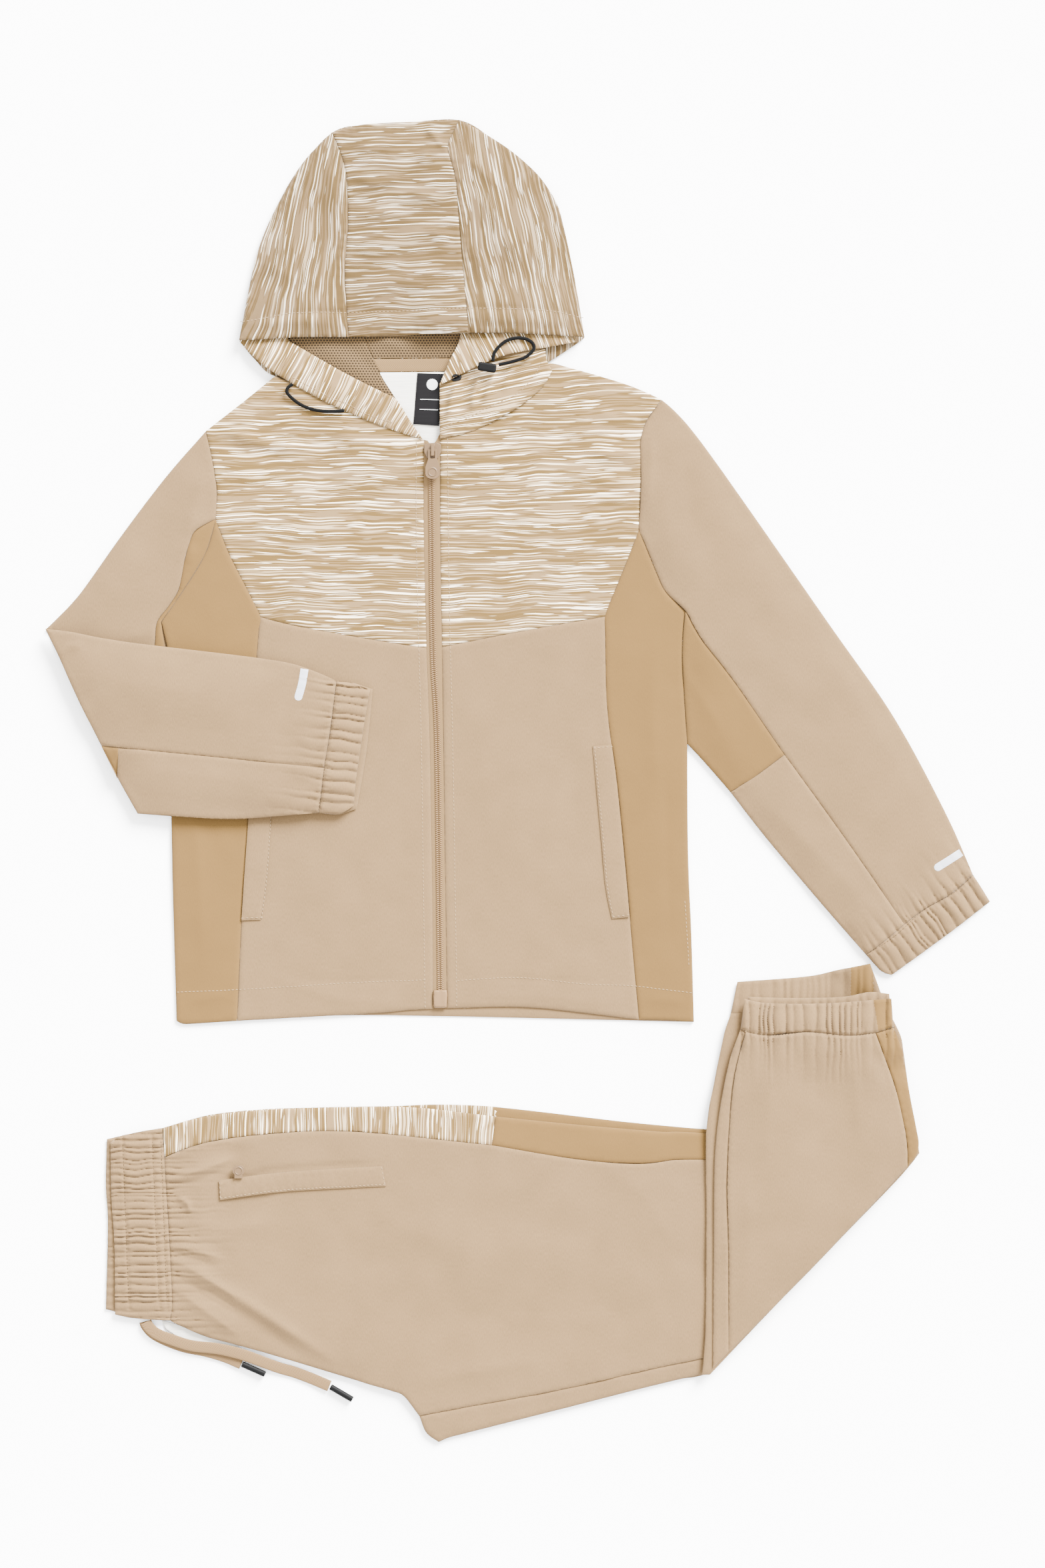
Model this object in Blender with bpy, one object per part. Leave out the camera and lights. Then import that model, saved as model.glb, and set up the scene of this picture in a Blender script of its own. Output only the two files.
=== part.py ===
"""A child's tracksuit laid flat on the floor: a hooded zip jacket with its right sleeve folded over the
front, and trousers folded leg on leg and again at the knee.

Every cloth piece is a wall that lies on the pieces sewn or folded under it. Its outline is the chain of
seams round it, and neighbours share each seam. The tables below are in millimetres, x to the right and
y up the jacket's length, z up off the floor; the meshes are in metres.
"""

import math
from collections import namedtuple

import bmesh
import bpy
import numpy as np
from mathutils import Vector
from mathutils.geometry import delaunay_2d_cdt

MM = 0.001

# Driving sizes
CLOTH = 1.5  # the wall of one sewn piece, its lining included
THIN = 1.0  # mesh lining, tape and label
PLY = 2.4  # hidden layers that share one wall
HOOD_PLY = 3.0  # the back of the hood, with its own lining and the front one against it
REST_GAP = 0.3  # between a piece and what it lies on
SEAM_GAP = 0.36  # between two pieces at a seam
EDGE_DROP = 0.45  # how far a piece's top rolls down at its edge
EDGE_SAG = 0.28  # how far the underside of a raised piece comes down at its edge
FLOOR_STEP = 60  # mesh step of the pieces that lie flat on the floor
WELT_STEP = 8  # and of the pocket welts, which follow the cloth under them closely
FINE_STEP = 20  # pieces meshed this finely follow the cloth under them more closely
WIDEST_DRAPE = 26  # a piece bridges hollows in the cloth under it up to this wide
CELL = 2.0  # side of the cells in which the lie of the cloth is worked out
MARGIN = 60.0  # of the grid of cells beyond the garments
SAME_POINT = 0.05  # seams meet where their ends are this near each other
SHARP_EDGE = 50  # degrees; an edge turning by more is drawn sharp

# The net of points inside a piece, in shares of its mesh step
NET = dict(row=0.87, rim=0.45, drape=1.15)
# The rows of points over a gathered edge: how far from the elastic, as a share of the band's reach if
# above nought or of the fade's if below, and how many points each gather has
GATHER_ROWS = ((0.5, 3), (-0.35, 2), (-1, 1))
GATHER_KEEP = dict(fade=1.2, band=1.1, rim=1.3)
# What makes gathers uneven: how much and how often their spacing and their depth change along the elastic
SPACING_WAVES = ((0.16, 17.0), (0.1, 41.0))
DEPTH_WAVE = (0.2, 29.0)
# A fold's sharpness across, how soon it reaches its height, its height at the ends and its run-out
CREASE = dict(sharp=1.8, rise=4, end=0.4, beyond=0.1)

# Lines that pieces are cut and sewn along, each through its points as one smooth curve
SEAMS = dict(
    neck_back=((-192.4, 321.6), (-150, 318), (-20, 322), (24, 332.5)),
    shoulder_left=((-192.4, 321.6), (-213, 305), (-247.8, 278)),
    armhole_left=((-247.8, 278), (-242.4, 253), (-239, 228), (-240, 208)),
    armpit_left=((-240, 208), (-248, 181), (-265, 152.4), (-283.4, 126)),
    yoke_side_left=((-240, 208), (-229.7, 181), (-213.5, 149), (-204.3, 130)),
    yoke_hem_left=((-204.3, 130), (-177, 123), (-105, 110.2), (-72.2, 105.3)),
    yoke_zip_left=((-72.2, 105.3), (-74.4, 200), (-74.3, 271)),
    yoke_neck_left=((-74.3, 271), (-101, 283.5), (-150, 303.5), (-192.4, 321.6)),
    side_seam_left=((-204.3, 130), (-207.5, 97), (-213.5, -30), (-219.2, -108), (-223, -191.5)),
    side_edge_left=((-283.4, 126), (-279, 107), (-276.6, 40), (-275.4, -28.7)),
    side_edge_left_low=((-275.4, -28.7), (-274, -96), (-271.2, -191.5)),
    side_hem_left=((-271.2, -191.5), (-265.7, -194), (-223, -191.5)),
    front_hem_left=((-223, -191.5), (-177.7, -189), (-108.5, -185), (-85, -182.8), (-66.9, -182)),
    front_zip_left=((-72.2, 105.3), (-69.5, 30), (-67.4, -100), (-66.9, -182)),
    back_hem=((-271.2, -191.5), (-143, -187.2), (-62, -187.8), (30, -189.8), (140.8, -192.4)),
    shoulder_right=((24, 332.5), (50, 326), (90, 314), (115, 303)),
    armhole_right=((115, 303), (103, 286), (98.2, 270), (98.6, 240), (97, 200)),
    armpit_right=((97, 200), (105.8, 178), (118.3, 150), (134, 134.7)),
    yoke_side_right=((97, 200), (86.7, 173), (74, 142), (69.8, 130.3)),
    yoke_hem_right=((69.8, 130.3), (24.7, 122.4), (-20, 114), (-59.8, 106)),
    yoke_zip_right=((-59.8, 106), (-61.2, 200), (-61.3, 276)),
    yoke_neck_right=((-61.3, 276), (-48, 283), (-20, 294), (4, 309), (24, 332.5)),
    side_seam_right=((69.8, 130.3), (71.6, 59), (79.5, -3), (86.4, -72), (91.8, -134), (97, -190.5)),
    side_edge_right=((134, 134.7), (131.5, 101), (135.4, 29)),
    side_edge_right_low=((135.4, 29), (136.2, -60), (138.7, -121.5), (140.8, -192.4)),
    side_hem_right=((97, -190.5), (118, -190.8), (140.8, -192.4)),
    front_hem_right=((-55.8, -181.5), (2.3, -180.5), (48.5, -184.6), (97, -190.5)),
    front_zip_right=((-59.8, 106), (-58.8, 30), (-57, -100), (-55.8, -181.5)),
    tape_middle=((-68.2, 264), (-68, 200), (-66.8, 100), (-63.5, 30), (-61.4, -150), (-61.1, -176)),
    tape_top_left=((-74.3, 271), (-71, 270), (-68.2, 264)),
    tape_top_right=((-61.3, 276), (-64.5, 270), (-68.2, 264)),
    tape_end_left=((-66.9, -182), (-61.1, -176)),
    tape_end_right=((-55.8, -181.5), (-61.1, -176)),
    sleeve_top_right=((115, 303), (131.7, 287.5), (161.7, 248.3), (249.3, 123), (300, 50), (340.6, -25),
                      (362.8, -75)),
    sleeve_seam_right=((134, 134.7), (148, 110.5), (172.8, 78.4), (212.7, 20.4)),
    sleeve_seam_right_low=((212.7, 20.4), (261.6, -47.4), (308, -114.5)),
    gusset_hem_right=((212.7, 20.4), (190, 3.5), (169.5, -9.2)),
    sleeve_inner_right=((135.4, 29), (148, 15.5), (169.5, -9.2)),
    sleeve_inner_right_low=((169.5, -9.2), (197.4, -45), (242, -98), (277.6, -138.7)),
    cuff_seam_right=((362.8, -75), (345.5, -90), (323.3, -103), (308, -114.5)),
    cuff_seam_right_low=((308, -114.5), (292, -128), (277.6, -138.7)),
    cuff_top_right=((362.8, -75), (369, -84.5), (376.4, -96.5)),
    cuff_end_right=((376.4, -96.5), (350, -117), (330.7, -131.3), (298, -155)),
    cuff_low_right=((298, -155), (290, -152), (277.6, -138.7)),
    sleeve_top_left=((-247.8, 278), (-278.8, 242.5), (-313.8, 196.5), (-350, 146), (-375, 120.5)),
    gusset_left=((-240, 208), (-256, 198.5), (-264.5, 176), (-270, 150.6), (-286.5, 126)),
    gusset_tail_left=((-286.5, 126), (-290, 96)),
    gusset_end_left=((-290, 96), (-280, 96)),
    gusset_close_left=((-280, 96), (-281.4, 112), (-283.4, 126)),
    sleeve_under_left=((-290, 96), (-330, 100), (-375, 120.5)),
    fold_left=((-375, 120.5), (-363.5, 97), (-349.7, 66), (-330.4, 27.4), (-301.6, -26.6)),
    fold_left_upper=((-375, 120.5), (-363.5, 97), (-349.7, 66), (-330.4, 27.4)),
    fold_left_lower=((-330.4, 27.4), (-317, 0.8), (-301.6, -26.6)),
    back_end_left=((-301.6, -26.6), (-275.4, -28.7)),
    forearm_top=((-375, 120.5), (-355, 118), (-311, 110), (-207, 97.4), (-172, 90.7), (-143.5, 79.2)),
    forearm_seam=((-330.4, 27.4), (-293, 23.7), (-235, 18), (-153.2, 10)),
    forearm_low=((-301.6, -26.6), (-271, -28.6), (-222.5, -30.7), (-157.6, -25.8)),
    cuff_seam_left=((-143.5, 79.2), (-148.4, 40.3), (-153.2, 10)),
    cuff_seam_left_low=((-153.2, 10), (-155.6, -10.4), (-157.6, -25.8)),
    cuff_top_left=((-143.5, 79.2), (-133, 78.3), (-117, 72)),
    cuff_end_left=((-117, 72), (-121, 48.4), (-127.6, 3.8), (-129.8, -20)),
    cuff_low_left=((-129.8, -20), (-141.4, -27), (-157.6, -25.8)),
    cuff_rear_left=((-143.5, 79.2), (-133, 78.3), (-114.8, 72.6)),
    cuff_rear_end_left=((-114.8, 72.6), (-119, 30), (-124, -3), (-127.6, -22.5)),
    cuff_rear_low_left=((-127.6, -22.5), (-141.4, -27.2), (-157.6, -25.8)),
    hood_edge_left=((-221, 349.5), (-205, 425), (-175, 485), (-147.5, 515.5)),
    hood_top=((-147.5, 515.5), (-120, 522), (-46, 525.5)),
    hood_edge_right=((-46, 525.5), (-20, 511), (7, 491), (30, 462), (43.5, 411), (53.6, 352)),
    hood_seam_left=((-147.5, 515.5), (-136.5, 485), (-134.5, 440), (-137, 405), (-134, 352)),
    hood_seam_right=((-46, 525.5), (-55, 505), (-49, 478), (-46, 440), (-38.5, 355)),
    hood_hem_left=((-221, 349.5), (-200, 350.3), (-177, 351.7), (-134, 352)),
    hood_hem=((-134, 352), (-100, 353), (-38.5, 355)),
    hood_hem_right=((-38.5, 355), (0, 354.7), (53.6, 352)),
    hood_neck_left=((-221, 349.5), (-209, 335), (-192.4, 321.6)),
    hood_neck_right=((53.6, 352), (44, 345), (24, 332.5)),
    band_low_left=((-221, 349), (-200, 328.5), (-150, 299.5), (-101, 279), (-75.2, 271.3)),
    band_end_left=((-75.2, 271.3), (-84.5, 285), (-96, 302.5)),
    band_seam_left=((-96, 302.5), (-107, 308.5), (-138.5, 324.5), (-181, 349)),
    band_top_left=((-181, 349), (-184, 356), (-216, 354), (-221, 349)),
    mesh_edge_left=((-96, 302.5), (-107, 320), (-120, 348)),
    mesh_top_left=((-120, 348), (-122, 358), (-184, 357), (-181, 349)),
    mesh_top=((-126, 358), (-42, 359)),
    mesh_side_right=((-42, 359), (-43, 346), (-50, 336.4)),
    mesh_low=((-50, 336.4), (-114, 335.9)),
    mesh_side_left=((-114, 335.9), (-126, 358)),
    tape_line=((-116, 335.2), (-50, 335.7)),
    neck_line=((-56, 325.4), (-109, 325.0)),
    tape_right=((-50, 335.7), (-56, 325.4)),
    tape_left=((-109, 325.0), (-116, 335.2)),
    lining_right=((-56, 324.8), (-57.5, 300), (-58, 262)),
    lining_low=((-58, 262), (-80, 262)),
    lining_left=((-80, 262), (-101, 299), (-113, 319), (-109, 324.4)),
    lining_top=((-109, 324.4), (-56, 324.8)),
    label_top=((-79.5, 324), (-57.8, 323.3)),
    label_right=((-57.8, 323.3), (-62.2, 281.7)),
    label_low=((-62.2, 281.7), (-82.7, 283.2)),
    label_left=((-82.7, 283.2), (-79.5, 324)),
    band_edge_right=((-62, 313.5), (-53, 335), (-46.5, 348), (-45, 357)),
    band_top_right=((-45, 357), (48, 355), (47, 348.5)),
    band_low_right=((47, 348.5), (24, 344), (-8, 338), (-31, 329), (-62, 313.5)),
    collar_edge=((-61.7, 314.5), (-61.5, 271.4)),
    collar_low=((-61.5, 271.4), (-34, 278), (3, 298), (22, 315), (28, 326)),
    collar_end=((28, 326), (24, 333), (22, 343.5)),
    collar_top=((22, 343.5), (-8, 341.5), (-31, 332.5), (-61.7, 314.5)),
    welt_top_right=((60, 27.3), (75.3, 28.6)),
    welt_open_right=((75.3, 28.6), (79.5, -3), (83.9, -47.4), (89.3, -108.7)),
    welt_end_right=((89.3, -108.7), (75.3, -110.2)),
    welt_stitch_right=((75.3, -110.2), (70.3, -84.5), (67, -47.4), (60, 27.3)),
    welt_top_left=((-213, -18), (-195.4, -18)),
    welt_stitch_left=((-195.4, -18), (-199, -74), (-204, -111)),
    welt_end_left=((-204, -111), (-219.4, -111.4)),
    welt_open_left=((-219.4, -111.4), (-217, -74), (-213, -18)),
    waist_back_edge=((-326.8, -285.5), (-327.6, -322), (-326, -354), (-327.6, -421)),
    waist_back_low=((-327.6, -421), (-308, -426), (-276.1, -429.8)),
    waist_back_top=((-326.8, -285.5), (-300, -279.4), (-282.4, -276.6)),
    waist_edge=((-323.6, -288), (-323, -330), (-320.4, -370), (-320, -424.9)),
    waist_low=((-320, -424.9), (-308, -427.5), (-276.1, -429.8)),
    waist_top=((-323.6, -288), (-316, -283), (-300, -279.6), (-282.4, -276.6)),
    under_top=((-282.4, -276.6), (-250.6, -267.4), (-199.4, -261.6), (-100, -259.2), (-31, -258.8),
               (88.5, -272), (150, -277.7), (240, -286), (318, -295)),
    knee_fold=((318, -295), (310, -306.6), (257, -363), (201.7, -420), (152.8, -471)),
    leg_low=((152.8, -471), (98.5, -484), (33, -500.7), (-54.5, -523), (-62.5, -526.5)),
    crotch=((-62.5, -526.5), (-72.4, -519), (-78, -505.5)),
    front_rise=((-78, -505.5), (-90, -490), (-118, -480.4), (-207.4, -453.4), (-249, -442),
                (-276.1, -429.8)),
    inseam=((-78, -505.5), (-49.6, -500), (33, -484.8), (98.5, -470), (166, -456)),
    inseam_end=((166, -456), (152.8, -471)),
    leg_fold=((166, -456), (201.7, -420), (257, -363), (304, -313)),
    out_seam_print=((-280.6, -300), (-250.6, -288.8), (-198, -281.3), (-130, -279.4), (-20.2, -290.2)),
    out_seam_plain=((-20.2, -290.2), (49, -301.5), (98.5, -305), (150, -301.7), (304, -313)),
    side_change=((-17.4, -267.4), (-20.2, -290.2)),
    out_edge_print=((-282.4, -276.6), (-250.6, -268), (-199.4, -262), (-130, -259.8), (-80, -260.4),
                    (-17.4, -267.4)),
    out_edge_plain=((-17.4, -267.4), (49, -274), (118, -279.7), (150, -280.7), (314, -298)),
    side_end=((314, -298), (304, -313)),
    waist_seam_front=((-280.6, -300), (-274.6, -405), (-276.1, -429.8)),
    waist_seam_side=((-282.4, -276.6), (-280.6, -300)),
    pocket_slit=((-237, -317.8), (-198, -312.6), (-157.7, -309.4), (-107.2, -306.5)),
    pocket_end=((-107.2, -306.5), (-104.2, -322.6)),
    pocket_stitch=((-104.2, -322.6), (-130, -323.8), (-190, -327.3), (-236, -333.4)),
    pocket_start=((-236, -333.4), (-237, -317.8)),
    low_under_left=((170.6, -186), (166, -199), (156.7, -243.5), (151, -279), (151, -349),
                    (150.2, -440), (147.5, -471.5)),
    low_under_toe=((147.5, -471.5), (152.8, -471.5)),
    low_fold=((152.8, -471.5), (201.7, -420), (257, -363), (304, -314.4), (319, -296)),
    low_right=((319, -296), (311, -245), (304.5, -203), (296, -186)),
    under_cuff_seam=((170.6, -186), (232, -184), (296, -186)),
    under_cuff_left=((170.6, -186), (175.8, -161)),
    under_cuff_end=((175.8, -161), (231, -156.6), (257, -151), (280, -146.3)),
    under_cuff_right=((280, -146.3), (287.8, -167), (296, -186)),
    low_left=((177.5, -197.6), (170.6, -216), (162.8, -250), (157, -297), (156, -375), (155.6, -466.5)),
    low_toe=((155.6, -466.5), (168, -454)),
    low_inseam=((181.4, -200), (173, -233), (168.8, -271), (166.8, -323), (168, -375), (168, -454)),
    low_strip_top=((177.5, -197.6), (181.4, -200)),
    low_cuff_seam=((181.4, -200), (200, -202.3), (231, -199.7), (262.3, -202.3), (284.2, -200.2)),
    low_side_top=((284.2, -200.2), (298.6, -196)),
    low_side_seam=((284.2, -200.2), (290, -216), (300.4, -245), (308.7, -283), (310, -306.6)),
    low_fold_front=((168, -454), (201.7, -420.5), (257, -363.5), (310, -306.6)),
    low_side_end=((310, -306.6), (317, -298)),
    low_edge=((317, -298), (319, -288), (311, -245), (305, -212), (298.6, -196)),
    cuff_low_side=((177.5, -197.6), (180.6, -173.6)),
    cuff_low_end=((180.6, -173.6), (200, -176.9), (245, -176.8), (297, -173)),
    cuff_low_right_side=((297, -173), (298.6, -196)),
    rear_cuff_seam=((178.8, -190), (240, -190), (297.8, -188)),
    rear_cuff_left=((178.8, -190), (184, -172)),
    rear_cuff_end=((184, -172), (217, -172.9), (257, -172), (280, -168), (295.6, -169.4)),
    rear_cuff_right=((295.6, -169.4), (297.8, -188)),
)

# Forms: groups of pieces that rise together, how high, and over what width from their edge
Form = namedtuple("Form", "loft width")
FORMS = dict(
    flat=Form(0.0, 20),
    body=Form(0.0, 20),
    upper_sleeve=Form(2.6, 34),
    right_sleeve=Form(3.0, 34),
    forearm=Form(3.2, 34),
    hood=Form(3.9, 60),
    neck=Form(0.8, 14),
    leg=Form(1.4, 30),
    low_leg=Form(3.0, 32),
    waist=Form(1.4, 18),
    cuff=Form(1.2, 14),
)

# Layers from the floor up. Each row is a piece: its form, cloth, wall, mesh step and the seams round it.
Piece = namedtuple("Piece", "name form cloth wall step seams")
LAYERS = (
    (
        Piece("jacket_back", "flat", "beige", CLOTH, FLOOR_STEP, "neck_back shoulder_left armhole_left "
              "armpit_left side_edge_left side_edge_left_low back_hem side_edge_right_low side_edge_right "
              "armpit_right armhole_right shoulder_right"),
        Piece("hood_back", "flat", "print", HOOD_PLY, FLOOR_STEP, "neck_back hood_neck_left "
              "hood_edge_left hood_top hood_edge_right hood_neck_right"),
        Piece("sleeve_left_back", "flat", "beige", CLOTH, FLOOR_STEP, "armhole_left armpit_left "
              "side_edge_left back_end_left fold_left sleeve_top_left"),
        Piece("sleeve_right_back", "flat", "beige", CLOTH, FLOOR_STEP, "armhole_right armpit_right "
              "side_edge_right sleeve_inner_right sleeve_inner_right_low cuff_low_right cuff_end_right "
              "cuff_top_right sleeve_top_right"),
        Piece("leg_under", "flat", "beige", PLY, FLOOR_STEP, "waist_seam_front waist_seam_side under_top "
              "knee_fold leg_low crotch front_rise"),
        Piece("waistband_back", "flat", "beige", PLY, FLOOR_STEP, "waist_back_edge waist_back_low "
              "waist_seam_front waist_seam_side waist_back_top"),
    ),
    (
        Piece("hood_lining_back", "flat", "mesh", THIN, 30, "mesh_top mesh_side_right mesh_low "
              "mesh_side_left"),
        Piece("neck_tape", "flat", "tape", THIN, 30, "tape_line tape_right neck_line tape_left"),
        Piece("back_lining", "flat", "lining", THIN, 30, "lining_right lining_low lining_left lining_top"),
    ),
    (
        Piece("hood_lining_left", "flat", "mesh", THIN, 30, "mesh_edge_left band_seam_left mesh_top_left"),
        Piece("neck_label", "flat", "label", 0.6, 30, "label_top label_right label_low label_left"),
    ),
    (
        Piece("yoke_left", "body", "print", CLOTH, 26, "shoulder_left armhole_left yoke_side_left "
              "yoke_hem_left yoke_zip_left yoke_neck_left"),
        Piece("yoke_right", "body", "print", CLOTH, 22, "shoulder_right armhole_right yoke_side_right "
              "yoke_hem_right yoke_zip_right yoke_neck_right"),
        Piece("front_left", "body", "beige", CLOTH, 34, "yoke_hem_left side_seam_left front_hem_left "
              "front_zip_left"),
        Piece("front_right", "body", "beige", CLOTH, 34, "yoke_hem_right side_seam_right "
              "front_hem_right front_zip_right"),
        Piece("side_left", "body", "ochre", CLOTH, 26, "yoke_side_left side_seam_left side_hem_left "
              "side_edge_left_low side_edge_left armpit_left"),
        Piece("side_right", "body", "ochre", CLOTH, 26, "yoke_side_right side_seam_right "
              "side_hem_right side_edge_right_low side_edge_right armpit_right"),
        Piece("zip_tape_left", "body", "tape", THIN, 40, "yoke_zip_left front_zip_left tape_end_left "
              "tape_middle tape_top_left"),
        Piece("zip_tape_right", "body", "tape", THIN, 40, "yoke_zip_right front_zip_right "
              "tape_end_right tape_middle tape_top_right"),
        Piece("sleeve_left", "upper_sleeve", "beige", CLOTH, 20, "armhole_left gusset_left "
              "gusset_tail_left sleeve_under_left sleeve_top_left"),
        Piece("sleeve_left_gusset", "upper_sleeve", "ochre", CLOTH, 16, "armpit_left gusset_left "
              "gusset_tail_left gusset_end_left gusset_close_left"),
        Piece("sleeve_right", "right_sleeve", "beige", CLOTH, 20, "armhole_right armpit_right "
              "sleeve_seam_right sleeve_seam_right_low cuff_seam_right sleeve_top_right"),
        Piece("sleeve_right_gusset", "right_sleeve", "ochre", CLOTH, 18, "sleeve_seam_right "
              "gusset_hem_right sleeve_inner_right side_edge_right"),
        Piece("sleeve_right_under", "right_sleeve", "beige", CLOTH, 18, "sleeve_seam_right_low "
              "gusset_hem_right sleeve_inner_right_low cuff_seam_right_low"),
        Piece("cuff_right", "right_sleeve", "beige", CLOTH, 9, "cuff_seam_right cuff_seam_right_low "
              "cuff_low_right cuff_end_right cuff_top_right"),
        Piece("waistband", "waist", "beige", CLOTH, 9, "waist_edge waist_low waist_seam_front "
              "waist_seam_side waist_top"),
        Piece("leg_front", "leg", "beige", CLOTH, 28, "waist_seam_front out_seam_print out_seam_plain "
              "leg_fold inseam front_rise"),
        Piece("leg_side_print", "leg", "print", CLOTH, 24, "waist_seam_side out_edge_print side_change "
              "out_seam_print"),
        Piece("leg_side", "leg", "ochre", CLOTH, 24, "side_change out_edge_plain side_end "
              "out_seam_plain"),
        Piece("leg_back", "leg", "beige", CLOTH, 24, "inseam inseam_end leg_low crotch"),
    ),
    (
        Piece("collar_right", "neck", "print", CLOTH, 12, "collar_edge collar_low collar_end "
              "collar_top"),
        Piece("band_left", "neck", "print", CLOTH, 14, "band_low_left band_end_left band_seam_left "
              "band_top_left"),
        Piece("pocket_welt_left", "flat", "beige", THIN, WELT_STEP, "welt_top_left welt_stitch_left "
              "welt_end_left welt_open_left"),
        Piece("pocket_welt_right", "flat", "beige", THIN, WELT_STEP, "welt_top_right welt_open_right "
              "welt_end_right welt_stitch_right"),
        Piece("trouser_pocket_welt", "flat", "beige", THIN, WELT_STEP, "pocket_slit pocket_end pocket_stitch "
              "pocket_start"),
    ),
    (
        Piece("forearm_back", "flat", "beige", PLY, 22, "fold_left forearm_low cuff_rear_low_left "
              "cuff_rear_end_left cuff_rear_left forearm_top"),
        Piece("low_leg_under", "flat", "beige", PLY, 24, "low_under_left low_under_toe low_fold low_right "
              "under_cuff_seam"),
        Piece("cuff_leg_under", "cuff", "beige", PLY, 9, "under_cuff_seam under_cuff_left "
              "under_cuff_end under_cuff_right"),
        Piece("band_right", "neck", "print", CLOTH, 12, "band_edge_right band_top_right "
              "band_low_right"),
    ),
    (
        Piece("forearm", "forearm", "beige", CLOTH, 20, "fold_left_upper forearm_top cuff_seam_left "
              "forearm_seam"),
        Piece("forearm_under", "forearm", "beige", CLOTH, 18, "forearm_seam fold_left_lower forearm_low "
              "cuff_seam_left_low"),
        Piece("cuff_left", "forearm", "beige", CLOTH, 9, "cuff_seam_left cuff_seam_left_low "
              "cuff_low_left cuff_end_left cuff_top_left"),
        Piece("cuff_leg_back", "cuff", "beige", CLOTH, 9, "rear_cuff_seam rear_cuff_left rear_cuff_end "
              "rear_cuff_right"),
        Piece("hood_left", "hood", "print", CLOTH, 18, "hood_edge_left hood_seam_left hood_hem_left"),
        Piece("hood_centre", "hood", "print", CLOTH, 18, "hood_seam_left hood_top hood_seam_right "
              "hood_hem"),
        Piece("hood_right", "hood", "print", CLOTH, 18, "hood_seam_right hood_edge_right "
              "hood_hem_right"),
    ),
    (
        Piece("low_leg_front", "low_leg", "beige", CLOTH, 20, "low_cuff_seam low_side_seam "
              "low_fold_front low_inseam"),
        Piece("low_leg_back", "low_leg", "beige", CLOTH, 20, "low_left low_toe low_inseam "
              "low_strip_top"),
        Piece("low_leg_side", "low_leg", "ochre", CLOTH, 20, "low_side_top low_side_seam low_side_end "
              "low_edge"),
        Piece("cuff_leg", "low_leg", "beige", CLOTH, 9, "low_strip_top low_cuff_seam low_side_top "
              "cuff_low_right_side cuff_low_end cuff_low_side"),
    ),
)

# Gathers: the elastic's line from start to end, the pieces it draws in, how many gathers, how deep,
# how far the band reaches beyond the line and how far the gathers fade into the other side
Gather = namedtuple("Gather", "pieces start end count depth band fade")
GATHERS = (
    Gather("cuff_right sleeve_right sleeve_right_under", (364, -75), (277, -138), 11, 1.5, 24, 26),
    Gather("cuff_left forearm forearm_under", (-157.5, -26), (-143.5, 79), 10, 1.5, 34, 26),
    Gather("forearm_back", (-157.5, -26), (-143.5, 79), 10, 1.0, 34, 10),
    Gather("waistband leg_front", (-278, -276), (-275, -430), 28, 1.3, 50, 22),
    Gather("waistband_back", (-278, -284), (-275, -428), 24, 1.0, 54, 8),
    Gather("cuff_leg low_leg_front", (299, -199), (178, -199), 14, 1.4, 28, 24),
    Gather("cuff_leg_back", (299, -189), (178, -189), 13, 1.1, 22, 8),
    Gather("cuff_leg_under", (297, -186), (171, -186), 14, 1.1, 42, 8),
)

# The largest folds: pieces, start, end, height (below nought is a trough) and half width
Fold = namedtuple("Fold", "pieces start end height width")
FOLDS = (
    Fold("yoke_left", (-240, 281), (-160, 265), 1.6, 11),
    Fold("yoke_right", (60, 262), (97, 256), 1.4, 8),
    Fold("yoke_right", (62, 238), (97, 234), 1.2, 8),
    Fold("front_left", (-150, -60), (-95, -150), 1.0, 22),
    Fold("front_right", (-30, 60), (20, -90), 1.0, 24),
    Fold("side_left", (-257, -60), (-250, -170), 0.9, 14),
    Fold("side_right", (112, 60), (116, -120), 0.9, 14),
    Fold("sleeve_left", (-248, 244), (-262, 196), 1.6, 10),
    Fold("sleeve_left", (-300, 190), (-350, 128), 1.4, 14),
    Fold("sleeve_right", (107, 278), (103, 215), 1.8, 9),
    Fold("sleeve_right", (130, 262), (137, 178), -1.4, 11),
    Fold("sleeve_right", (180, 120), (300, -40), 1.2, 16),
    Fold("forearm", (-363, 99), (-345, 106), 1.8, 8),
    Fold("forearm", (-340, 78), (-225, 66), 1.4, 14),
    Fold("forearm", (-250, 44), (-175, 58), -1.2, 14),
    Fold("hood_centre", (-128, 486), (-62, 492), 2.4, 11),
    Fold("hood_centre", (-126, 440), (-60, 432), 1.8, 13),
    Fold("hood_centre", (-128, 398), (-52, 404), 2.0, 12),
    Fold("hood_left", (-196, 430), (-150, 380), 1.6, 14),
    Fold("hood_right", (-30, 450), (25, 400), 1.6, 16),
    Fold("collar_right", (-46, 320), (-57, 284), 1.8, 7),
    Fold("collar_right", (-15, 327), (-27, 297), 1.8, 7),
    Fold("leg_front", (-265, -385), (-145, -463), 2.0, 12),
    Fold("leg_front", (-90, -350), (40, -440), 1.2, 22),
    Fold("leg_front", (20, -330), (120, -345), 1.0, 20),
    Fold("low_leg_front", (200, -230), (215, -330), 1.4, 16),
    Fold("low_leg_front", (255, -240), (262, -330), -1.2, 16),
)

# The jacket's zip slider with its pull, the pull on the trouser pocket's zip, and the cord's lock.
# A pull turns about the bar at its end. Heights are taken from the cloth under each piece.
SLIDER = dict(x=-67.2, low=256.0, top=268.0, width=13.4, nose=9.0, taper=5.0, corner=3.4, shoulder=1.2,
              plate=1.7, bridge=2.6, arch=3.4, arch_wall=0.9, arch_root=0.6, arch_leg=1.6, arch_low=257.6,
              arch_top=266.8)
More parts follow.
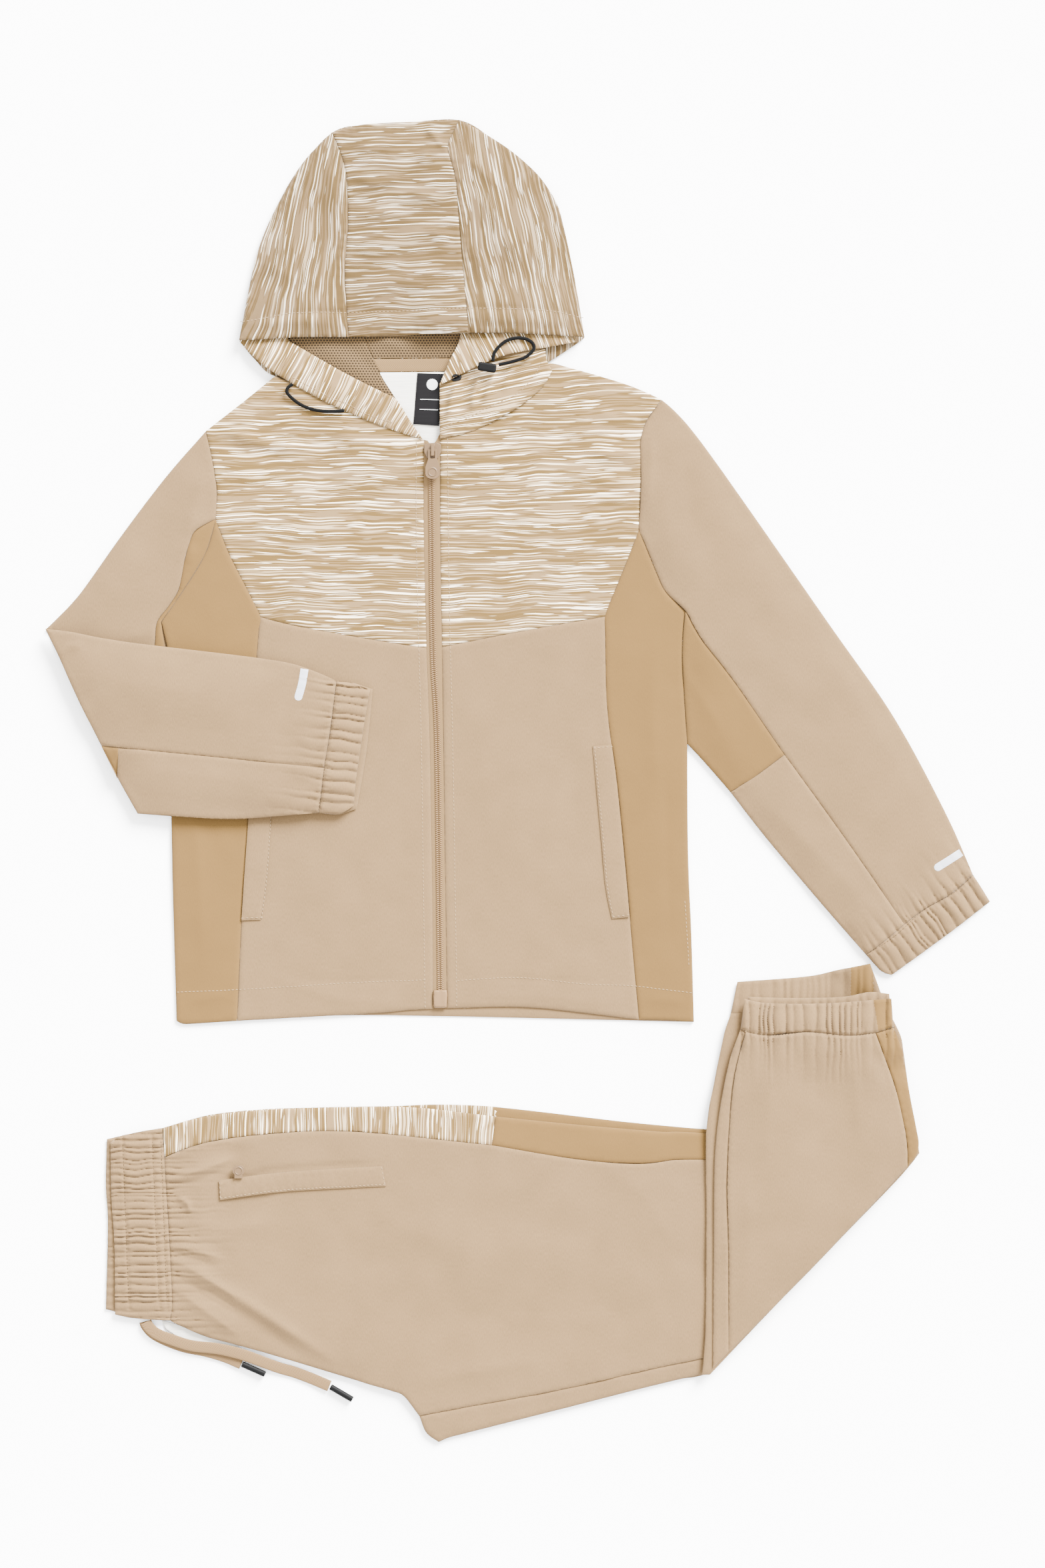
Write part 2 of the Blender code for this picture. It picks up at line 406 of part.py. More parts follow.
# A pull's outline, in shares of its ring's place and of its half width
TAB = dict(neck=0.42, shoulder=0.78, round=0.72)
PULL = dict(bar_y=262.2, end_y=239.2, width=11.6, neck=7.2, thick=1.6, lift=1.2, ring_y=244.8,
            ring_r=3.2, ring_wire=0.55)
POCKET_PULL = dict(x=-221.3, bar_y=-315.2, end_y=-305.4, width=9.4, neck=6.4, thick=1.6, ring_y=-310.0,
                   ring_r=2.9, ring_wire=0.5)
CORD_LOCK = dict(start=(-31.0, 328.6), end=(-16.6, 326.4), wide=7.0, high=5.0, sink=0.2)

# Free cords: each route's points, chosen by hand, with the height of the cord's middle off the floor
ELASTIC = 1.9
LOOP_LEFT = ((-178.4, 314.6, 9.1), (-182, 312, 9.1), (-182.9, 308.3, 9.0), (-179.4, 304, 8.1),
             (-172, 298.5, 7.9), (-162.6, 294.7, 8.1), (-151.5, 293.0, 9.1), (-142, 293.2, 9.1),
             (-137.4, 293.6, 9.1))
LOOP_RIGHT = ((-19.5, 332.6, 12.2), (-17.4, 340.5, 12.0), (-10, 348.0, 11.8), (-1.7, 350.9, 11.4),
              (6.7, 350.4, 11.1), (12.5, 346.7, 11.1), (12.9, 341.7, 11.1), (6.7, 336, 11.1),
              (-1.7, 333, 11.2), (-10, 330.8, 11.8), (-14.6, 329.8, 12.2))
DRAWSTRING = dict(width=9.0, thick=1.8)
STRING_A = ((-296.5, -430.8, 1.0), (-295.3, -434, 1.0), (-290, -440, 1.0), (-280, -445.5, 1.0),
            (-265, -451, 1.0), (-248, -454.4, 1.0), (-233, -458.8, 1.0), (-219.6, -464.3, 1.5))
STRING_B = ((-295.4, -430.8, 3.3), (-292.8, -435.2, 3.3), (-286, -440.6, 3.3), (-273, -445.6, 3.3),
            (-258.7, -449.8, 3.3), (-238, -452.2, 3.4), (-219, -456.6, 3.9), (-205, -461.6, 3.3),
            (-190, -467.4, 1.5), (-177, -471.2, 1.0), (-163, -476.4, 1.2), (-149.4, -482.0, 2.2))
TIP = dict(long=20.0, across=4.8, height=2.5)
TIP_A = ((-219.0, -464.4), (-200.5, -472.6))
TIP_B = ((-148.6, -482.4), (-131.1, -492.6))

# Colour, roughness and sheen of each cloth and fitting
Finish = namedtuple("Finish", "colour roughness sheen metallic")
FINISHES = dict(
    beige=Finish((0.62, 0.50, 0.39), 0.85, 0.3, 0),
    ochre=Finish((0.57, 0.41, 0.23), 0.85, 0.3, 0),
    print=Finish((0.72, 0.60, 0.46), 0.85, 0.3, 0),
    mesh=Finish((0.60, 0.43, 0.27), 0.9, 0.2, 0),
    lining=Finish((0.84, 0.84, 0.83), 0.9, 0.3, 0),
    tape=Finish((0.60, 0.49, 0.38), 0.85, 0.2, 0),
    label=Finish((0.04, 0.04, 0.042), 0.7, 0.2, 0),
    coil=Finish((0.58, 0.46, 0.34), 0.45, 0, 0),
    black=Finish((0.012, 0.012, 0.012), 0.5, 0, 0),
    drawcord=Finish((0.60, 0.48, 0.36), 0.9, 0.3, 0),
)


def material(name):
    """A plain finish for a cloth or a fitting."""
    finish = FINISHES[name]
    made = bpy.data.materials.new(name)
    made.use_nodes = True
    shader = made.node_tree.nodes["Principled BSDF"]
    shader.inputs["Base Color"].default_value = (*finish.colour, 1)
    shader.inputs["Roughness"].default_value = finish.roughness
    shader.inputs["Sheen Weight"].default_value = finish.sheen
    shader.inputs["Metallic"].default_value = finish.metallic
    return made


def smooth_curve(points, step):
    """Points about a step apart along the curve through the given ones."""
    p = np.array(points, float)
    ends = np.vstack([2 * p[0] - p[1], p, 2 * p[-1] - p[-2]])
    out = [p[0]]
    for a, b, c, d in zip(ends, ends[1:], ends[2:], ends[3:]):
        count = max(1, round(float(np.linalg.norm(c - b)) / step))
        for t in np.arange(1, count + 1) / count:
            pull = (c - a) * (t - 2 * t**2 + t**3) / 2 + (d - b) * (t**3 - t**2) / 2
            out.append(b * (1 - 3 * t**2 + 2 * t**3) + c * (3 * t**2 - 2 * t**3) + pull)
    return np.array(out)


# Seams that gathers cross, and how far apart their points are
FINE_SEAMS = dict(
    cuff_seam_right=3, cuff_seam_right_low=3, cuff_end_right=3, cuff_seam_left=3, cuff_seam_left_low=3,
    cuff_end_left=3, cuff_rear_end_left=4, waist_seam_front=1.8, waist_seam_side=1.8, waist_edge=1.8,
    waist_back_edge=3, low_cuff_seam=2.8, cuff_low_end=2.8, rear_cuff_end=4, under_cuff_end=4,
    low_side_top=2.8, low_strip_top=2.8,
)


def seam_points(name, step):
    """A seam's points: close together where gathers cross it, and wider on the pieces on the floor."""
    plain = FLOOR_STEP / 2 if step == FLOOR_STEP else min(step, 15)
    return smooth_curve(SEAMS[name], FINE_SEAMS.get(name, plain))


def outline_of(piece):
    """The closed outline of a piece, counterclockwise, with its seam allowance taken off."""
    lines = [seam_points(name, piece.step) for name in piece.seams.split()]
    ends = [np.linalg.norm(lines[0][-1] - other) for other in (lines[1][0], lines[1][-1])]
    starts = [np.linalg.norm(lines[0][0] - other) for other in (lines[1][0], lines[1][-1])]
    line = lines[0][::-1] if min(starts) < min(ends) else lines[0]
    points = list(line)
    for line in lines[1:]:
        if np.linalg.norm(line[-1] - points[-1]) < np.linalg.norm(line[0] - points[-1]):
            line = line[::-1]
        points += [p for p in line if np.linalg.norm(p - points[-1]) > SAME_POINT]
    if np.linalg.norm(points[0] - points[-1]) < SAME_POINT:
        points.pop()
    p = np.array(points)
    after = np.roll(p, -1, 0)
    if (p[:, 0] * after[:, 1] - after[:, 0] * p[:, 1]).sum() < 0:
        p = p[::-1]
    return inset(p, SEAM_GAP / 2)


def inset(p, by):
    """The counterclockwise outline moved in by the same distance all round."""
    ahead = np.roll(p, -1, 0) - p
    ahead /= np.linalg.norm(ahead, axis=1)[:, None]
    behind = np.roll(ahead, 1, 0)
    normal = np.stack([-(ahead + behind)[:, 1], (ahead + behind)[:, 0]], 1)
    normal /= np.maximum(np.linalg.norm(normal, axis=1), 1e-6)[:, None]
    lean = np.clip((normal * np.stack([-ahead[:, 1], ahead[:, 0]], 1)).sum(1), 0.5, 1)
    return p + normal * (by / lean)[:, None]


def inside(points, outline):
    """Which of the points lie in the outline."""
    x, y = points[:, 0], points[:, 1]
    found = np.zeros(len(points), bool)
    for (ax, ay), (bx, by) in zip(outline, np.roll(outline, -1, 0)):
        if ay != by:
            crosses = ((ay > y) != (by > y)) & (x < (bx - ax) * (y - ay) / (by - ay) + ax)
            found ^= crosses
    return found


def clearance(points, outline):
    """How far each point is from the outline."""
    best = np.full(len(points), np.inf)
    for a, b in zip(outline, np.roll(outline, -1, 0)):
        d = b - a
        t = np.clip(((points - a) @ d) / max(d @ d, 1e-9), 0, 1)
        best = np.minimum(best, np.linalg.norm(points - a - t[:, None] * d, axis=1))
    return best


def along(points, start, end):
    """Each point's share of the way along a line, and how far it lies to the line's left."""
    start, end = np.array(start, float), np.array(end, float)
    d = (end - start) / np.linalg.norm(end - start)
    off = points - start
    return off @ d / np.linalg.norm(end - start), off @ np.array([-d[1], d[0]])


def gather_relief(points, gather):
    """The waves of a gathered edge: full depth on the band, fading on the other side of the elastic."""
    share, left = along(points, gather.start, gather.end)
    swing = share * gather.count + sum(much * np.sin(share * often) for much, often in SPACING_WAVES)
    uneven = 1 - DEPTH_WAVE[0] * (1 - np.sin(share * DEPTH_WAVE[1]))
    fade = np.where(left < 0, np.exp(-((left / gather.fade) ** 2)), 1.0)
    return gather.depth * uneven * fade * (0.5 - 0.5 * np.cos(2 * math.pi * swing))


def fold_relief(points, fold):
    """A soft ridge or trough from start to end that fades at both ends."""
    share, left = along(points, fold.start, fold.end)
    across = np.exp(-((left / fold.width) ** 2) * CREASE["sharp"])
    within = np.minimum(share, 1 - share)
    ends = np.clip(within * CREASE["rise"] + CREASE["end"], 0, 1)
    return fold.height * across * np.where(within < -CREASE["beyond"], 0, ends)


def relief(points, name):
    """How far a piece's gathers and folds stand above its plain lie."""
    height = np.zeros(len(points))
    for gather in GATHERS:
        if name in gather.pieces.split():
            height += gather_relief(points, gather)
    for fold in FOLDS:
        if name in fold.pieces.split():
            height += fold_relief(points, fold)
    return height


class Ground:
    """The height of the topmost cloth over the floor, on a grid of cells."""

    def __init__(self, outlines):
        corners = np.vstack(outlines)
        self.low = corners.min(0) - MARGIN
        self.shape = tuple(np.ceil((corners.max(0) + MARGIN - self.low) / CELL).astype(int))
        self.height = np.full(self.shape, -REST_GAP)
        steps = [self.low[k] + CELL * (np.arange(self.shape[k]) + 0.5) for k in (0, 1)]
        self.cells = np.stack(np.meshgrid(*steps, indexing="ij"), -1).reshape(-1, 2)

    def mask(self, outlines):
        found = np.zeros(len(self.cells), bool)
        for outline in outlines:
            near = ((self.cells > outline.min(0)) & (self.cells < outline.max(0))).all(1)
            found[near] |= inside(self.cells[near], outline)
        return found.reshape(self.shape).astype(float)

    def at(self, grid, points):
        """The grid's value at each point, between the cells' middles."""
        place = (points - self.low) / CELL - 0.5
        i = np.floor(place).astype(int)
        f = place - i
        return sum(
            grid[i[:, 0] + a, i[:, 1] + b] * (f[:, 0] if a else 1 - f[:, 0]) * (f[:, 1] if b else 1 - f[:, 1])
            for a in (0, 1) for b in (0, 1)
        )

    def cover(self, points, tops, faces):
        """Raises the ground to the mesh that now lies on it."""
        for face in faces:
            p, z = points[face], tops[face]
            first = np.floor((p.min(0) - self.low) / CELL - 1).astype(int)
            last = np.ceil((p.max(0) - self.low) / CELL + 1).astype(int)
            box = self.height[first[0]:last[0], first[1]:last[1]]
            x = self.low[0] + CELL * (np.arange(first[0], last[0]) + 0.5)[:, None]
            y = self.low[1] + CELL * (np.arange(first[1], last[1]) + 0.5)[None, :]
            area = np.cross(p[1] - p[0], p[2] - p[0])
            u = ((p[1, 0] - x) * (p[2, 1] - y) - (p[2, 0] - x) * (p[1, 1] - y)) / area
            v = ((p[2, 0] - x) * (p[0, 1] - y) - (p[0, 0] - x) * (p[2, 1] - y)) / area
            w = 1 - u - v
            sides = np.linalg.norm(p - np.roll(p, -1, 0), axis=1) * CELL / area
            near = (u > -sides[1]) & (v > -sides[2]) & (w > -sides[0])
            reach = np.clip(u, 0, 1) * z[0] + np.clip(v, 0, 1) * z[1] + np.clip(w, 0, 1) * z[2]
            box[near] = np.maximum(box[near], np.minimum(reach, z.max())[near])


def grown(grid, cells):
    """Each cell takes the highest value within that many cells."""
    for axis in (0, 1):
        grid = np.max([np.roll(grid, k, axis) for k in range(-cells, cells + 1)], 0)
    return grid


def blurred(grid, cells):
    """The average over a square of cells, taken twice."""
    for axis in (0, 1, 0, 1):
        grid = np.mean([np.roll(grid, k, axis) for k in range(-cells, cells + 1)], 0)
    return grid


def inner_points(piece, outline):
    """Points inside a piece: an even net, and rows that carry its gathers."""
    low, high = outline.min(0), outline.max(0)
    rows = []
    for j, y in enumerate(np.arange(low[1], high[1], piece.step * NET["row"])):
        x = np.arange(low[0] + piece.step * 0.5 * (j % 2), high[0], piece.step)
        rows.append(np.stack([x, np.full(len(x), y)], 1))
    net = np.vstack(rows)
    net = net[inside(net, outline)]
    net = net[clearance(net, outline) > piece.step * NET["rim"]]
    for gather in GATHERS:
        if piece.name not in gather.pieces.split():
            continue
        _, left = along(net, gather.start, gather.end)
        net = net[(left < -gather.fade * GATHER_KEEP["fade"]) | (left > gather.band * GATHER_KEEP["band"])]
        start, end = np.array(gather.start, float), np.array(gather.end, float)
        d = (end - start) / np.linalg.norm(end - start)
        normal = np.array([-d[1], d[0]])
        for part, per in GATHER_ROWS:
            offset = part * (gather.band if part > 0 else gather.fade)
            share = (np.arange(gather.count * per) + 0.5) / (gather.count * per)
            row = start + share[:, None] * (end - start) + normal * offset
            row = row[inside(row, outline)]
            net = np.vstack([net, row[clearance(row, outline) > GATHER_KEEP["rim"]]])
    return net


def cloth_wall(piece, outline, ground, base, pillow):
    """A closed wall over the outline, lying on the ground under it."""
    net = inner_points(piece, outline)
    points = np.vstack([outline, net])
    rim = len(outline)
    edges = [(i, (i + 1) % rim) for i in range(rim)]
    made = delaunay_2d_cdt([Vector(p) for p in points], edges, [], 1, 1e-4)
    flat = np.array([tuple(v) for v in made[0]])
    faces = np.array(made[2])
    turn = np.cross(flat[faces[:, 1]] - flat[faces[:, 0]], flat[faces[:, 2]] - flat[faces[:, 0]])
    faces[turn < 0] = faces[turn < 0][:, ::-1]
    form = FORMS[piece.form]
    rise = ground.at(pillow, flat)
    raised = form.loft * rise * (2 - rise) + relief(flat, piece.name)
    raised = np.maximum(raised, 0)
    bottom = ground.at(base, flat) + (raised if piece.form != "flat" else 0)
    top = ground.at(base, flat) + raised + piece.wall
    sides = np.vstack([faces[:, [0, 1]], faces[:, [1, 2]], faces[:, [2, 0]]])
    pairs = {tuple(side) for side in sides}
    rim_sides = [(a, b) for a, b in pairs if (b, a) not in pairs]
    edge = [a for a, _ in rim_sides]
    top[edge] -= min(EDGE_DROP, piece.wall * 0.4)
    if form.loft > 0:
        bottom[edge] -= EDGE_SAG
    count = len(flat)
    vertices = np.vstack([np.column_stack([flat, top]), np.column_stack([flat, bottom])]) * MM
    shell = [tuple(f) for f in faces] + [tuple(f[::-1] + count) for f in faces]
    shell += [(b, a, a + count, b + count) for a, b in rim_sides]
    mesh = bpy.data.meshes.new(piece.name)
    mesh.from_pydata(vertices.tolist(), [], [tuple(int(i) for i in f) for f in shell])
    mesh.shade_smooth()
    mesh.set_sharp_from_angle(angle=math.radians(SHARP_EDGE))
    mesh.materials.append(MATERIALS[piece.cloth])
    obj = bpy.data.objects.new(piece.name, mesh)
    bpy.context.scene.collection.objects.link(obj)
    return flat, top, faces


def lay_cloth():
    """Lays every piece, a layer at a time, each on what is under it."""
    outlines = {piece.name: outline_of(piece) for layer in LAYERS for piece in layer}
    ground = Ground(list(outlines.values()))
    for layer in LAYERS:
        bases = {}
        laid = []
        for piece in layer:
            reach = math.ceil(min(piece.step, WIDEST_DRAPE) * NET["drape"] / CELL)
            soft = 1 if piece.step <= FINE_STEP else 2
            if reach not in bases:
                bases[reach] = blurred(grown(ground.height, reach + 2 * soft), soft) + REST_GAP
            form = FORMS[piece.form]
            mask = ground.mask([outlines[p.name] for p in layer if p.form == piece.form])
            cells = max(1, round(form.width / CELL / 2))
            pillow = np.clip(2 * blurred(mask, cells) - 1, 0, 1)
            laid.append(cloth_wall(piece, outlines[piece.name], ground, bases[reach], pillow))
        for made in laid:
            ground.cover(*made)
    return ground


def placed(name, mesh, finish, origin=(0, 0, 0), parent=None):
    obj = bpy.data.objects.new(name, mesh)
    mesh.materials.append(MATERIALS[finish])
    obj.location = Vector(origin) * MM
    obj.parent = parent
    bpy.context.scene.collection.objects.link(obj)
    return obj


def plate(name, outline, low, high):
    """A flat mesh: the outline raised from low to high."""
    form = bmesh.new()
    rim = [form.verts.new((x * MM, y * MM, low * MM)) for x, y in outline]
    face = form.faces.new(rim)
    if face.normal.z > 0:
        face.normal_flip()
    made = bmesh.ops.extrude_face_region(form, geom=[face])
    raised = [item for item in made["geom"] if isinstance(item, bmesh.types.BMVert)]
    bmesh.ops.translate(form, verts=raised, vec=(0, 0, (high - low) * MM))
    bmesh.ops.recalc_face_normals(form, faces=form.faces)
    mesh = bpy.data.meshes.new(name)
    form.to_mesh(mesh)
    form.free()
    return mesh


def bevelled(obj, width, segments=2):
    bevel = obj.modifiers.new("soft_edges", "BEVEL")
    bevel.width = width * MM
    bevel.segments = segments
    bevel.limit_method = "ANGLE"
    return obj


def combined(obj, other, operation):
    """Joins or cuts obj with a helper, which isn't shown."""
    step = obj.modifiers.new(other.name, "BOOLEAN")
    step.operation = operation
    step.object = other
    other.hide_render = True
    other.display_type = "WIRE"


def highest(ground, low, high):
    """The highest cloth under a box, and the gap that a piece on it keeps."""
    first = np.floor((np.array(low) - ground.low) / CELL).astype(int)
    last = np.ceil((np.array(high) - ground.low) / CELL).astype(int)
    return float(ground.height[first[0]:last[0], first[1]:last[1]].max()) + REST_GAP


def zip_slider(ground):
    """The slider's plate on the zip, with the arch that the pull's bar turns under."""
    s = SLIDER
    half = s["width"] / 2
    nose = s["nose"] / 2
    seat = highest(ground, (s["x"] - nose, s["low"]), (s["x"] + nose, s["top"] - s["corner"]))
    right = [(nose, s["low"]), (half, s["low"] + s["taper"]), (half, s["top"] - s["shoulder"]),
             (half - s["corner"], s["top"])]
    shape = right + [(-x, y) for x, y in reversed(right)]
    body = placed("zip_slider", plate("zip_slider", shape, 0, s["plate"]), "coil", (s["x"], 0, seat))
    side = s["bridge"] / 2
    outer = plate("slider_arch", [(-side, s["arch_low"]), (side, s["arch_low"]), (side, s["arch_top"]),
                                  (-side, s["arch_top"])], s["plate"] - s["arch_root"],
                  s["plate"] + s["arch"])
    arch = placed("slider_arch", outer, "coil", (s["x"], 0, seat))
    low, top = s["arch_low"] + s["arch_leg"], s["arch_top"] - s["arch_leg"]
    hole = plate("arch_hole", [(-half, low), (half, low), (half, top), (-half, top)], s["plate"],
                 s["plate"] + s["arch"] - s["arch_wall"])
    cut = placed("arch_hole", hole, "coil", (s["x"], 0, seat))
    combined(body, arch, "UNION")
    combined(body, cut, "DIFFERENCE")
    bevelled(body, 0.3, 1)
    return seat + s["plate"] + PULL["lift"]


def pull_tab(name, p, x, height, toward, window):
    """A flat pull with a raised ring, hung on an empty on its bar; toward is -1 or 1 along y."""
    hinge = bpy.data.objects.new(name + "_hinge", None)
    hinge.location = Vector((x, p["bar_y"], height)) * MM
    bpy.context.scene.collection.objects.link(hinge)
    reach = abs(p["end_y"] - p["bar_y"])
    ring = abs(p["ring_y"] - p["bar_y"])
    half, thick = p["width"] / 2, p["thick"]
    neck = p["neck"] / 2
    side = [(neck, -thick / 2), (neck, ring * TAB["neck"]), (half, ring * TAB["shoulder"])]
    end = [(half * math.cos(a), reach - half * TAB["round"] * (1 - math.sin(a)))
           for a in np.radians((0, 22, 45, 67))]
    right = side + end
    shape = right + [(0, reach)] + [(-a, b) for a, b in reversed(right)]
    mesh = plate(name, [(a, b * toward) for a, b in shape], -thick / 2, thick / 2)
    tab = placed(name, mesh, "coil", parent=hinge)
    bpy.ops.mesh.primitive_torus_add(major_radius=p["ring_r"] * MM, minor_radius=p["ring_wire"] * MM,
                                     major_segments=16, minor_segments=5,
                                     location=(0, ring * toward * MM, thick / 2 * MM))
    raised = bpy.context.object
    raised.name = name + "_ring"
    raised.parent = hinge
    combined(tab, raised, "UNION")
    if window:
        width = SLIDER["bridge"] / 2 + 0.5
        hole = plate(name + "_window", [(-width, thick / 2 * toward), (width, thick / 2 * toward),
                                        (width, window * toward), (-width, window * toward)],
                     -thick, thick)
        combined(tab, placed(name + "_window", hole, "coil", parent=hinge), "DIFFERENCE")
    bevelled(tab, 0.35, 1)
    return hinge


def pocket_pull(ground):
    p = POCKET_PULL
    half = p["width"] / 2
    seat = highest(ground, (p["x"] - half, p["bar_y"] - 1), (p["x"] + half, p["end_y"]))
    return pull_tab("pocket_pull", p, p["x"], seat + p["thick"] / 2, 1, 0)


def cord_lock(ground):
    """The barrel that the hood's elastic passes through."""
    c = CORD_LOCK
    start, end = np.array(c["start"]), np.array(c["end"])
    seat = highest(ground, np.minimum(start, end) - (0, 2), np.maximum(start, end) + (0, 2))
    long = float(np.linalg.norm(end - start))
    x, y = long / 2, c["wide"] / 2
    mesh = plate("cord_lock", [(-x, -y), (x, -y), (x, y), (-x, y)], 0, c["high"])
    middle = (start + end) / 2
    lock = placed("cord_lock", mesh, "black", (middle[0], middle[1], seat - c["sink"]))
    lock.rotation_euler.z = math.atan2(end[1] - start[1], end[0] - start[0])
    return bevelled(lock, 1.6, 3)


def cord(name, route, finish, thick, width=0):
    """A free cord along its route; one with a width is flat."""
    middle = smooth_curve(route, width * 1.5 or thick * 2.2)
    data = bpy.data.curves.new(name, "CURVE")
    data.dimensions = "3D"
    data.twist_mode = "Z_UP"
    line = data.splines.new("POLY")
    line.points.add(len(middle) - 1)
    for point, place in zip(line.points, middle):
        point.co = (*(Vector(place) * MM), 1)
    data.bevel_depth = thick / 2 * MM
    data.bevel_resolution = 2
    if width:
        data.extrude = (width - thick) / 2 * MM
        for point in line.points:
            point.tilt = math.pi / 2
    data.use_fill_caps = True
    data.materials.append(MATERIALS[finish])
    obj = bpy.data.objects.new(name, data)
    bpy.context.scene.collection.objects.link(obj)
    return obj


def string_tip(name, ends):
    """The moulded end of a drawstring."""
    start, end = (Vector((*place, TIP["height"])) * MM for place in ends)
    bpy.ops.mesh.primitive_cylinder_add(vertices=16, radius=TIP["across"] / 2 * MM,
                                        depth=(end - start).length, location=(start + end) / 2)
    tip = bpy.context.object
    tip.name = tip.data.name = name
    tip.rotation_euler = (end - start).to_track_quat("Z", "Y").to_euler()
    tip.data.materials.append(MATERIALS["black"])
    tip.data.shade_smooth()
    return bevelled(tip, 0.7, 2)


for leftover in list(bpy.data.objects):
    bpy.data.objects.remove(leftover)
MATERIALS = {name: material(name) for name in FINISHES}
ground = lay_cloth()
bar_height = zip_slider(ground)
pull_tab("zip_pull", PULL, SLIDER["x"], bar_height, -1, 6.6)
pocket_pull(ground)
cord_lock(ground)
cord("hood_elastic_left", LOOP_LEFT, "black", ELASTIC)
cord("hood_elastic_right", LOOP_RIGHT, "black", ELASTIC)
cord("drawstring_a", STRING_A, "drawcord", DRAWSTRING["thick"], DRAWSTRING["width"])
cord("drawstring_b", STRING_B, "drawcord", DRAWSTRING["thick"], DRAWSTRING["width"])
string_tip("drawstring_tip_a", TIP_A)
string_tip("drawstring_tip_b", TIP_B)
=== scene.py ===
import math

import bpy
import numpy as np
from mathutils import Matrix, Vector, noise
from mathutils.bvhtree import BVHTree
from mathutils.geometry import delaunay_2d_cdt


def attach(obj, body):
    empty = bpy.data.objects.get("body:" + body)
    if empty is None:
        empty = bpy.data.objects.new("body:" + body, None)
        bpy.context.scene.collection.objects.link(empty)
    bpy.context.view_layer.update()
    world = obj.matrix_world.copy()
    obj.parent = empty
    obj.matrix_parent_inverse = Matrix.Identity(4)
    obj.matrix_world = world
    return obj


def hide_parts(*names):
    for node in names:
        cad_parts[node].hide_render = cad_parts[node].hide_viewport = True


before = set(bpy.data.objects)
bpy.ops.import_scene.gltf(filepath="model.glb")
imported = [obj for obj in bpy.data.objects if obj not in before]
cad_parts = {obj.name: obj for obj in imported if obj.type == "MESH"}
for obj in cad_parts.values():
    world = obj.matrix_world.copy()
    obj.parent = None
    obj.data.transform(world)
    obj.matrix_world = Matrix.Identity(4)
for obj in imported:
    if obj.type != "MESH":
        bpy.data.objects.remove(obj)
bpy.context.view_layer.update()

# The camera looks straight down on the set, as the photograph does. The floor is a plain pale
# board, lit by a bright even room and one large soft lamp at the upper right.
MM = 0.001
VIEW = dict(x=4.24, y=-2.9, height=3468, lens=100)
LAMP = dict(place=(1.2, 1.8, 1.3), spread=30, strength=46)
ROOM_LIGHT = 5.9
FLOOR_COLOUR = (0.93, 0.93, 0.93, 1)

camera = bpy.data.objects.new("camera", bpy.data.cameras.new("camera"))
camera.data.lens = VIEW["lens"]
camera.location = Vector((VIEW["x"], VIEW["y"], VIEW["height"])) * MM
bpy.context.scene.collection.objects.link(camera)
bpy.context.scene.camera = camera

bpy.ops.mesh.primitive_plane_add(size=8, location=(0, 0, -0.0006))
floor = bpy.context.object
floor.name = "floor"
board = bpy.data.materials.new("floor_board")
board.use_nodes = True
board.node_tree.nodes["Principled BSDF"].inputs["Base Color"].default_value = FLOOR_COLOUR
board.node_tree.nodes["Principled BSDF"].inputs["Roughness"].default_value = 0.9
floor.data.materials.append(board)

world = bpy.data.worlds.new("room")
bpy.context.scene.world = world
world.use_nodes = True
world.node_tree.nodes["Background"].inputs["Color"].default_value = (1, 1, 1, 1)
world.node_tree.nodes["Background"].inputs["Strength"].default_value = ROOM_LIGHT
lamp = bpy.data.objects.new("soft_lamp", bpy.data.lights.new("soft_lamp", "SUN"))
lamp.data.angle = math.radians(LAMP["spread"])
lamp.data.energy = LAMP["strength"]
lamp.location = LAMP["place"]
lamp.rotation_euler = (-Vector(LAMP["place"])).to_track_quat("-Z", "Y").to_euler()
bpy.context.scene.collection.objects.link(lamp)

# The drawstrings: two flat woven cords that come out of the waistband's foot and lie loose on the
# floor, each with a moulded black tip. The routes are the solids' own, in millimetres.
STRING = dict(width=9.0, thick=1.8, step=1.5)
STRING_COLOUR = (0.110, 0.067, 0.031)
STRING_ROUTES = dict(
    drawstring_a=((-296.5, -430.8, 1.0), (-295.3, -434, 1.0), (-290, -440, 1.0), (-280, -445.5, 1.0),
                  (-265, -451, 1.0), (-248, -454.4, 1.0), (-233, -458.8, 1.0), (-219.6, -464.3, 1.5)),
    drawstring_b=((-295.4, -430.8, 3.3), (-292.8, -435.2, 3.3), (-286, -440.6, 3.3),
                  (-273, -445.6, 3.3), (-258.7, -449.8, 3.3), (-238, -452.2, 3.4),
                  (-219, -456.6, 3.9), (-205, -461.6, 3.3), (-190, -467.4, 1.5), (-177, -471.2, 1.0),
                  (-163, -476.4, 1.2), (-149.4, -482.0, 2.2)),
)


def smooth_line(points, step):
    """Points about a step apart along the curve through the given ones."""
    p = np.array(points, float)
    ends = np.vstack([2 * p[0] - p[1], p, 2 * p[-1] - p[-2]])
    out = [p[0]]
    for a, b, c, d in zip(ends, ends[1:], ends[2:], ends[3:]):
        count = max(1, round(float(np.linalg.norm(c - b)) / step))
        for t in np.arange(1, count + 1) / count:
            pull = (c - a) * (t - 2 * t**2 + t**3) / 2 + (d - b) * (t**3 - t**2) / 2
            out.append(b * (1 - 3 * t**2 + 2 * t**3) + c * (3 * t**2 - 2 * t**3) + pull)
    return np.array(out)


def shown(name, mesh, look):
    """An object at the origin with this mesh and material."""
    obj = bpy.data.objects.new(name, mesh)
    mesh.materials.clear()
    mesh.materials.append(look)
    bpy.context.scene.collection.objects.link(obj)
    return obj


